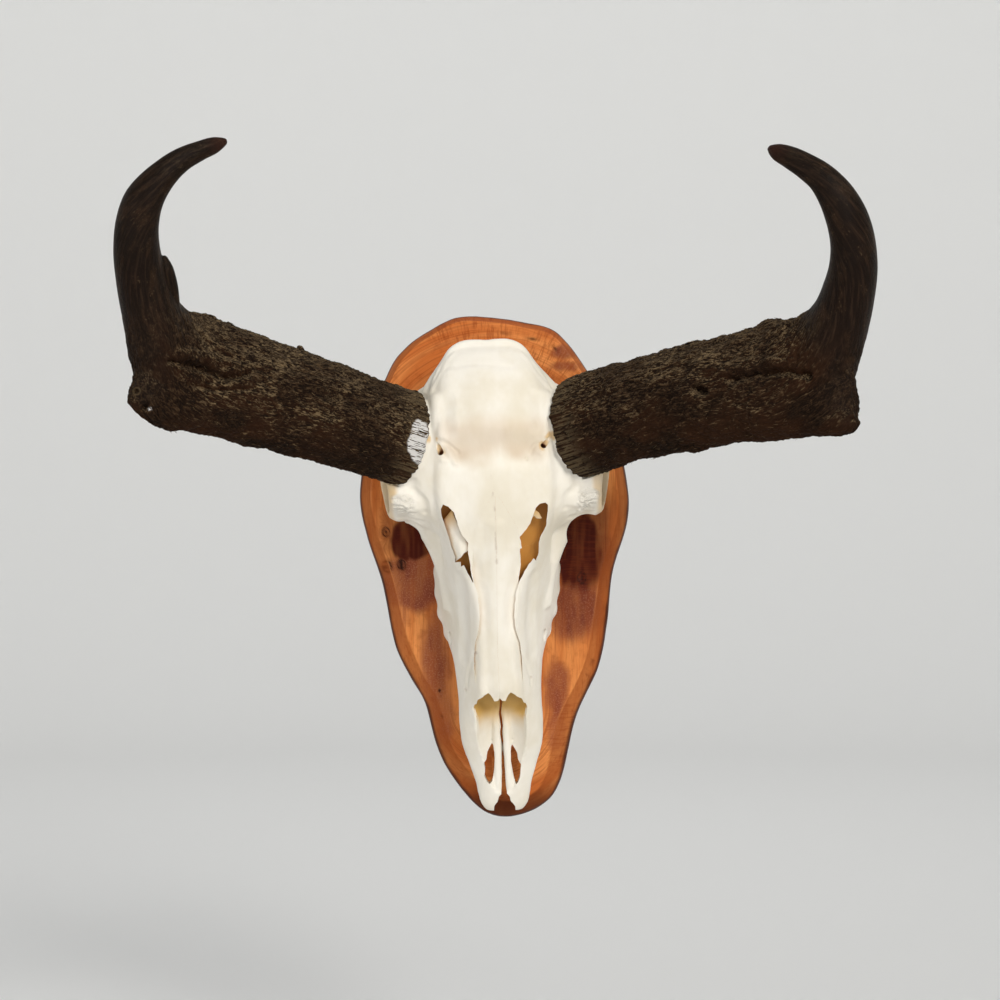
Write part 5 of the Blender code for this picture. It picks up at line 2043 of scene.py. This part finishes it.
@dataclass
class Plaque:
    """The free-form wooden slab, flat behind, its front edge rounded over."""

    thickness: float = PLAQUE_THICKNESS
    # Sections of the back edge and the front edge, as (distance in from the outline, height)
    back_edge: Rows = ((0.8, 0), (0, 0.8), (0, 7))
    edge: Rows = ((0, 14), (0.25, 16.2), (0.75, 17.9), (1.5, 19.2), (2.4, 20.2), (4.2, 21.7),
                  (6.2, 23.2), (7.9, 24.35), (8.5, 24.7), (9.1, 24.86), (9.8, 24.94), (11, 25))
    # Width of that edge at each z, as a share of its section's
    edge_widths: Rows = ((-150, 1.25), (-60, 1.1), (0, 1), (60, 0.85), (105, 0.5))
    outline: Rows = (
        (-2, 158.3), (-24, 158), (-43, 149.4), (-57, 139), (-68, 124), (-79, 92), (-86, 48),
        (-82, 20), (-72.5, -9), (-64, -49), (-54, -71), (-45, -87), (-37.5, -114), (-28, -133),
        (-10, -154), (8, -159.5), (29, -152.7), (42, -136), (52, -96), (66, -64), (71.5, -36),
        (75, -4), (84.5, 29), (84, 56), (74, 95), (59.5, 123.5), (40, 148.2), (18, 155.2),
    )
    splits: int = 26
    rings: int = 100
    back_rings: Point = (0.04, 0.35, 0.7, 0.95, 0.99)
    middle: Point = (-2, -20)
    grain_top: Point = (-2, 60)
    grain_low: float = -90.0
    knots: Rows = ((-68.7, 21.8, 2.2), (-68.2, -0.1, 2.6), (-59, 1.2, 2.4), (54.8, -7.1, 2.6))
    # x, z, radius across, radius up, strength of plum stain, of heartwood (partly painted shadow
    # just under the orbits), width of the border
    patches: Rows = (
        # The patches at (-51, 18), (-64, 24), (52, 9) and (60, 18), just under the orbits, are
        # partly painted shadow cast by the skull
        (-51, 18, 17, 13.5, 0, 0.97, 0.3), (-64, 24, 9, 17, 0.1, 0.4, 0.9),
        (-52, -10, 20, 20, 0.75, 0.12, 0.5), (-64, -28, 8, 30, 0.35, 0, 1),
        (52, 9, 17, 28, 0, 0.97, 0.55), (60, 18, 14, 38, 0.3, 0.55, 0.9),
        (50, -28, 16, 20, 0.8, 0.35, 0.8), (-37, -62, 9, 34, 0.75, 0.1, 1),
        (-31, -92, 6, 22, 0.5, 0, 1), (38, -80, 7, 20, 0.7, 0.1, 0.9),
        (37, -104, 6, 14, 0.55, 0, 1), (43.5, 134, 9, 4, 0.75, 0.25, 0.9),
        (44, 125, 10, 3.5, 0.6, 0.15, 0.9), (0, -150, 22, 8, 0.2, 0.5, 1),
    )
    # x, z, radius across, radius up, strength of curly grain
    curls: Rows = ((-18, 152, 34, 12, 0.9), (38, 132, 22, 22, 0.85), (44, -106, 12, 26, 0.7),
                   (56, 4, 20, 36, 0.3), (-60, 60, 14, 50, 0.25))
    # Cracks and specks, as (x, z) lines and their half width
    marks: tuple[tuple[Rows, float], ...] = (
        (((61.6, -58.8), (60.4, -62), (58.6, -65.2), (57.9, -68.4)), 0.9),
        (((3.8, 148), (13, 146.8), (22.1, 144.2), (31, 141), (39.8, 136.7)), 0.5),
        (((-35, -78), (-35, -78.6)), 0.9), (((-33.7, -94.4), (-33.7, -95.4)), 1),
        (((-59.3, 4), (-59, -1)), 1.1),
    )

    def slab(self) -> Solid:
        """Make the slab, with a fine front face.

        Returns:
            The slab, before its grain is raised.
        """
        outline = closed_curve(self.outline, self.splits)
        run = unit(np.roll(outline, -1, axis=0) - np.roll(outline, 1, axis=0))
        inward = np.stack((-run[:, 1], run[:, 0]), axis=1)
        where = np.insert(outline, 1, 0.0, axis=1)
        width = np.interp(outline[:, 1], *zip(*self.edge_widths))
        width = (width * (1 + 0.3 * layered(where, 55.0, 96, 2)))[:, None]
        rings = [np.insert(outline + inward * inset * width, 1, height, axis=1)
                 for inset, height in (*self.back_edge, *self.edge)]
        back, front = (np.array((self.middle[0], height, self.middle[1]))
                       for height in (0.0, self.thickness))
        rings += [front + (rings[-1] - front) * share
                  for share in np.linspace(1.0, 0.02, self.rings)[1:]]
        inner = [back + (rings[0] - back) * share for share in self.back_rings]
        return Solid.skin("plaque_slab", [*inner, *rings])

    def grain(self, points: Array) -> Array:
        """Measure where each point lies in the grain.

        Args:
            points: The slab's points.

        Returns:
            Places across the growth lines, through the board and along the lines.
        """
        x, z = points[:, 0] - self.grain_top[0], points[:, 2] - self.grain_top[1]
        below = np.minimum(z, 0.0)
        past = np.minimum(points[:, 2] - self.grain_low, 0.0)
        across = np.where(past < 0, np.hypot(x, past), np.hypot(x, np.maximum(z, 0.0)))
        for kx, kz, size in self.knots:
            away = np.hypot(points[:, 0] - kx, 0.45 * (points[:, 2] - kz))
            across = across + 3.2 * size * np.exp(-(away / (1.8 * size)) ** 2)
        turn = np.arctan2(np.abs(x), np.maximum(z, 0.0)) * 60.0
        along = np.sign(x) * (turn - below)
        return np.stack((across, points[:, 1], along), axis=1)

    def masks(self, points: Array) -> Array:
        """Lay out the stains of the wood.

        Args:
            points: The slab's points.

        Returns:
            How much plum stain, heartwood (partly painted shadow under the orbits), knot and curly
            grain there is at each point.
        """
        plum, heart, knot, curly = np.zeros((4, len(points)))
        warp = 7.0 * layered(points, 18.0, 91, 3) + 2.6 * layered(points, (2.5, 2.5, 16.0), 92, 2)
        streak = 1 + 0.25 * layered(points, (3.0, 3.0, 26.0), 95, 2)
        fade = 1 + 0.55 * layered(points, (7.0, 7.0, 15.0), 90, 3)
        for x, z, wide, tall, stain, dark, border in self.patches:
            away = spot_distance(points, x - 0.6 * warp, z - 0.7 * warp, wide, tall)
            share = rise(1 + 0.4 * border, 1 - 0.5 * border, away)
            plum = np.maximum(plum, stain * share)
            heart = np.maximum(heart, dark * share)
        for x, z, size in self.knots:
            away = spot_distance(points, x, z, 1.0, 1.25)
            heart = np.maximum(heart, 0.5 * rise(2.4 * size, size, away))
            ring = rise(0.5, 0.1, np.abs(away - size))
            knot = np.maximum.reduce([knot, ring, rise(0.5 * size, 0.2 * size, away)])
        for line, half_width in self.marks:
            away = nearest_line(points[:, ::2], [line])
            knot = np.maximum(knot, 0.9 * rise(half_width + 0.3, half_width - 0.5, away))
        for x, z, wide, tall, strength in self.curls:
            away = spot_distance(points, x, z, wide, tall)
            curly = np.maximum(curly, strength * rise(1.3, 0.6, away))
        masks = np.stack((plum * streak * fade, heart * streak, knot, curly), axis=1)
        return np.clip(masks, 0.0, 1.0)

    def bevel_mask(self, points: Array) -> Array:
        """Lay out the colours of the front edge, with painted shade and a painted highlight.

        Args:
            points: The slab's points.

        Returns:
            How far each point lies on the bevel, its dark edge, painted shade on the sides and the
            low rim that also darkens the back, and its bright inner line, a painted highlight.
        """
        height, z = -points[:, 1], points[:, 2]
        rim = rise(24.9, 24.4, height)
        # Painted shade on the sides below the rounded edge, which also darkens the back
        dark = rise(20.6, 18.4, height + 0.7 * layered(points, 9.0, 93, 2))
        # Painted shade, stronger towards the bottom of the rim
        low = rise(-132.0, -156.0, z + 6.0 * layered(points, 12.0, 98, 2))
        dark = np.maximum(dark, 0.8 * rim * low)
        # Painted highlight: a broken bright line where the bevel meets the face
        light = np.exp(-((height - 24.72) / 0.12) ** 2) * (1 - dark)
        light *= 0.4 * rise(0.0, 0.7, layered(points, 24.0, 94, 2))
        return np.stack((rim, 0.92 * dark, np.clip(light, 0.0, 1.0), np.ones_like(rim)), axis=1)

    def build(self, finish: WoodFinish) -> bpy.types.Object:
        """Build the plaque.

        Args:
            finish: The wood's finish.

        Returns:
            The finished piece.
        """
        slab = self.slab()
        points = slab.points
        front = rise(4.0, 12.0, -points[:, 1])
        wave = 0.35 * layered(points, 24.0, 97, 2) + 0.12 * layered(points, (5.0, 5.0, 22.0), 99, 2)
        dents = sum(0.5 * rise(1.2 * size, 0.0, spot_distance(points, x, z))
                    for x, z, size in self.knots)
        slab.push(front * (wave - 0.35 - dents))
        slab.paint("grain", self.grain(slab.points))
        slab.paint("wood_mask", self.masks(slab.points))
        slab.paint("bevel", self.bevel_mask(points))
        return slab.piece(finish.material(), "plaque_wood", ["plaque"])


# Studio

@dataclass
class Studio:
    """Pale floor that sweeps up far round the model, soft lights and the camera."""

    floor_z: float = -0.36
    flat_radius: float = 2.4
    wall_radius: float = 3.6
    wall_height: float = 3.0
    sides: int = 96
    floor_tone: Colour = (0.80, 0.80, 0.79, 1.0)
    sky_tone: Colour = (0.92, 0.94, 0.96, 1.0)
    sky_strength: float = 0.23
    camera_place: Point = (0.0032, -1.6, 0.042)
    view_angle: float = math.radians(22.66)

    def sweep(self) -> None:
        """Make the floor: a wide disc whose rim curves up all round."""
        bend = self.wall_radius - self.flat_radius
        profile = [(1.2, 0.0), (self.flat_radius, 0.0)]
        profile += [(self.flat_radius + bend * math.sin(angle), bend * (1 - math.cos(angle)))
                    for angle in np.linspace(0.0, 0.5 * math.pi, 17)[1:]]
        profile.append((self.wall_radius, self.wall_height))
        mesh = bmesh.new()
        hub = mesh.verts.new((0.0, 0.0, self.floor_z))
        turns = [math.tau * k / self.sides for k in range(self.sides)]
        rings = [[mesh.verts.new((radius * math.cos(turn), radius * math.sin(turn),
                                  self.floor_z + height)) for turn in turns]
                 for radius, height in profile]
        for k in range(self.sides):
            after = (k + 1) % self.sides
            mesh.faces.new((hub, rings[0][k], rings[0][after]))
            for low, high in zip(rings, rings[1:]):
                mesh.faces.new((low[k], high[k], high[after], low[after]))
        data = bpy.data.meshes.new("floor")
        mesh.to_mesh(data)
        mesh.free()
        data.shade_smooth()
        material, graph, shader = new_material("floor_paint")
        graph.wire(shader, {"Base Color": self.floor_tone, "Roughness": 0.95})
        data.materials.append(material)
        show("floor", data)

    def light(self, name: str, place: Point, aim: Point, size: float, power: float,
              tone: Point = (1.0, 1.0, 1.0)) -> None:
        """Hang one square soft light.

        Args:
            name: The light's name.
            place: Where it hangs, in metres.
            aim: What it looks at, in metres.
            size: Its width in metres.
            power: Its power in watts.
            tone: Its colour.
        """
        data = bpy.data.lights.new(name, "AREA")
        data.shape, data.size, data.energy, data.color = "SQUARE", size, power, tone
        lamp = show(name, data)
        lamp.location = place
        lamp.rotation_euler = (Vector(aim) - Vector(place)).to_track_quat("-Z", "Y").to_euler()

    def build(self) -> None:
        """Set up the floor, the lights, the world and the camera."""
        scene = bpy.context.scene
        scene.view_settings.view_transform = "Standard"
        self.sweep()
        middle = (0.0, -0.1, 0.05)
        self.light("key", (1.2, -2.7, 1.3), middle, 1.0, 58.0, (1.0, 0.985, 0.95))
        self.light("fill", (-1.8, -2.3, 0.4), middle, 1.4, 17.0)
        self.light("top", (0.0, -0.5, 2.4), middle, 1.4, 8.5)
        self.light("wash", (0.0, 1.0, 2.2), (0.0, 3.6, 0.6), 2.0, 26.0)
        scene.world = bpy.data.worlds.new("pale")
        scene.world.use_nodes = True
        tree = scene.world.node_tree
        Graph(tree).wire(tree.nodes["Background"], {"Color": self.sky_tone,
                                                    "Strength": self.sky_strength})
        data = bpy.data.cameras.new("camera")
        data.sensor_width = 36.0
        data.angle = self.view_angle
        scene.camera = show("camera", data)
        scene.camera.location = self.camera_place
        scene.camera.rotation_euler = (0.5 * math.pi, 0.0, 0.0)


RIGHT_HORN: Rows = (
    (47, 102.9, 84.3, 30, 21), (66.6, 121, 90.3, 29.8, 21), (88, 142, 96, 29.6, 21),
    (115, 168, 102, 30.2, 20.5), (141.8, 192, 106, 31.5, 20), (163, 212, 111, 33, 19),
    (178, 227, 122, 26.5, 18), (187.5, 239, 138, 18.5, 16), (191.8, 249, 154, 15.6, 14.2),
    (193.4, 257, 168.4, 13.9, 13), (192.3, 262, 180.8, 12.9, 12), (187.7, 267, 194.7, 11.4, 10.8),
    (182, 269, 205, 9.8, 9.4), (175, 269.5, 213.5, 8.2, 8), (166, 267.5, 220.5, 7, 6.8),
    (157.3, 264, 226, 5.8, 5.6), (150, 260, 229.8, 3.6, 3.6), (147.6, 258.5, 231.4, 1.4, 1.4),
)
LEFT_HORN: Rows = (
    (-52.4, 102.8, 78.8, 29, 21), (-73, 121, 85.2, 29, 21), (-96, 142, 92.6, 29.6, 21),
    (-122.9, 168, 100.4, 30.7, 20.5), (-150, 193, 108, 31.5, 20), (-170, 213, 115, 33, 19),
    (-181, 229, 127.5, 26.5, 18), (-186.8, 243, 145, 17.2, 15.5), (-190.6, 253, 163, 14.6, 13.6),
    (-191.9, 260, 177, 13.2, 12.5), (-190.7, 265, 191, 12, 11.4), (-187.2, 268, 201.5, 10.8, 10.2),
    (-182.6, 269, 208.5, 9.4, 9), (-176, 269, 216, 7.8, 7.6), (-167.7, 267, 223.3, 6.5, 6.3),
    (-157.8, 263, 229, 5.3, 5.1), (-148.1, 258.5, 233.6, 3.8, 3.6), (-144, 256.5, 235.4, 1.5, 1.5),
)
RIGHT_PRONG: Rows = (
    (150, 207, 105, 24, 15), (168, 219, 100, 24, 14.5), (181, 231, 98, 21, 12.5),
    (188.5, 240, 98.5, 21.5, 9.5), (192.8, 244.5, 100, 20.5, 6), (195.2, 247, 100.5, 17.5, 3.3),
)
LEFT_PRONG: Rows = (
    (-158, 208, 110, 24, 15), (-173, 220, 104.5, 24, 14.5), (-183.5, 231, 103, 20.5, 12.5),
    (-188.6, 239.5, 106.5, 19.5, 8.6), (-191.8, 243.5, 109, 17.5, 5.4),
    (-193.6, 245.5, 110.5, 14.5, 3.2),
)


def main() -> None:
    """Build the studio, the plaque, the skull and the horns, and report each piece."""
    logging.basicConfig(level=logging.INFO, format="%(name)s %(message)s", stream=sys.stdout)
    Studio().build()
    Plaque().build(WoodFinish())
    Skull().build((LEFT_HORN, RIGHT_HORN), BoneFinish())
    material = HornFinish().material()
    left = HornSheath(
        Side.LEFT, LEFT_HORN, LEFT_PRONG,
        lumps=(
            ((-111.6, 156, 124.5, 3.6), (-111.8, 158, 129, 2.9), (-112.4, 158, 131.6, 1.4)),
            ((-173.6, 243, 148, 3), (-175.8, 248, 160, 4.2), (-177.6, 251, 169, 3.4),
             (-178.8, 252, 174, 1.6)),
        ),
        strokes=(
            Stroke(((-188.8, 91.6), (-188.4, 92.2)), 3.2, -3.4, mirrored=False),
            Stroke(((-193.8, 100.9), (-193.6, 101.2)), 2.0, -2.2, mirrored=False),
            Stroke(((-176, 117), (-160, 114), (-145, 110), (-137, 112.5)), 3.0, -3.0,
                   mirrored=False, rough=0.9),
            Stroke(((-170, 122), (-156, 120), (-143, 117)), 4.5, 1.7, mirrored=False, rough=0.9),
            Stroke(((-168, 105), (-150, 102.5), (-134, 104)), 2.2, -1.1, mirrored=False, rough=0.9),
        ),
        # The last spot is a painted glint in the pit near the prong's end
        scrapes=((-43.5, 85, 4.4), (-44.8, 80, 5.4), (-45.3, 74, 5.9), (-44.3, 68, 4.8),
                 (-186.8, 91.4, 0.7)),
        rings=((-193.4, 100.9, 1.9),))
    left.build(material)
    right = HornSheath(
        Side.RIGHT, RIGHT_HORN, RIGHT_PRONG,
        lumps=(((108, 164, 74, 3), (115, 170, 73, 4.5), (121, 176, 74.5, 3)),),
        strokes=(
            Stroke(((193.2, 85.3), (193.6, 85.8)), 2.4, -1.8, mirrored=False),
            Stroke(((113, 104.4), (116.5, 103.6)), 4.4, -6.0, mirrored=False, rough=0.4),
            Stroke(((131, 109), (142, 111), (154, 112.3), (171, 110)), 3.2, -3.0,
                   mirrored=False, rough=0.9),
            Stroke(((128, 115), (144, 118), (160, 119)), 5.0, 1.7, mirrored=False, rough=0.9),
        ),
        gloom=0.12, bark_seed=23, fibre_seed=8)
    right.build(material)


if __name__ == "__main__":
    main()
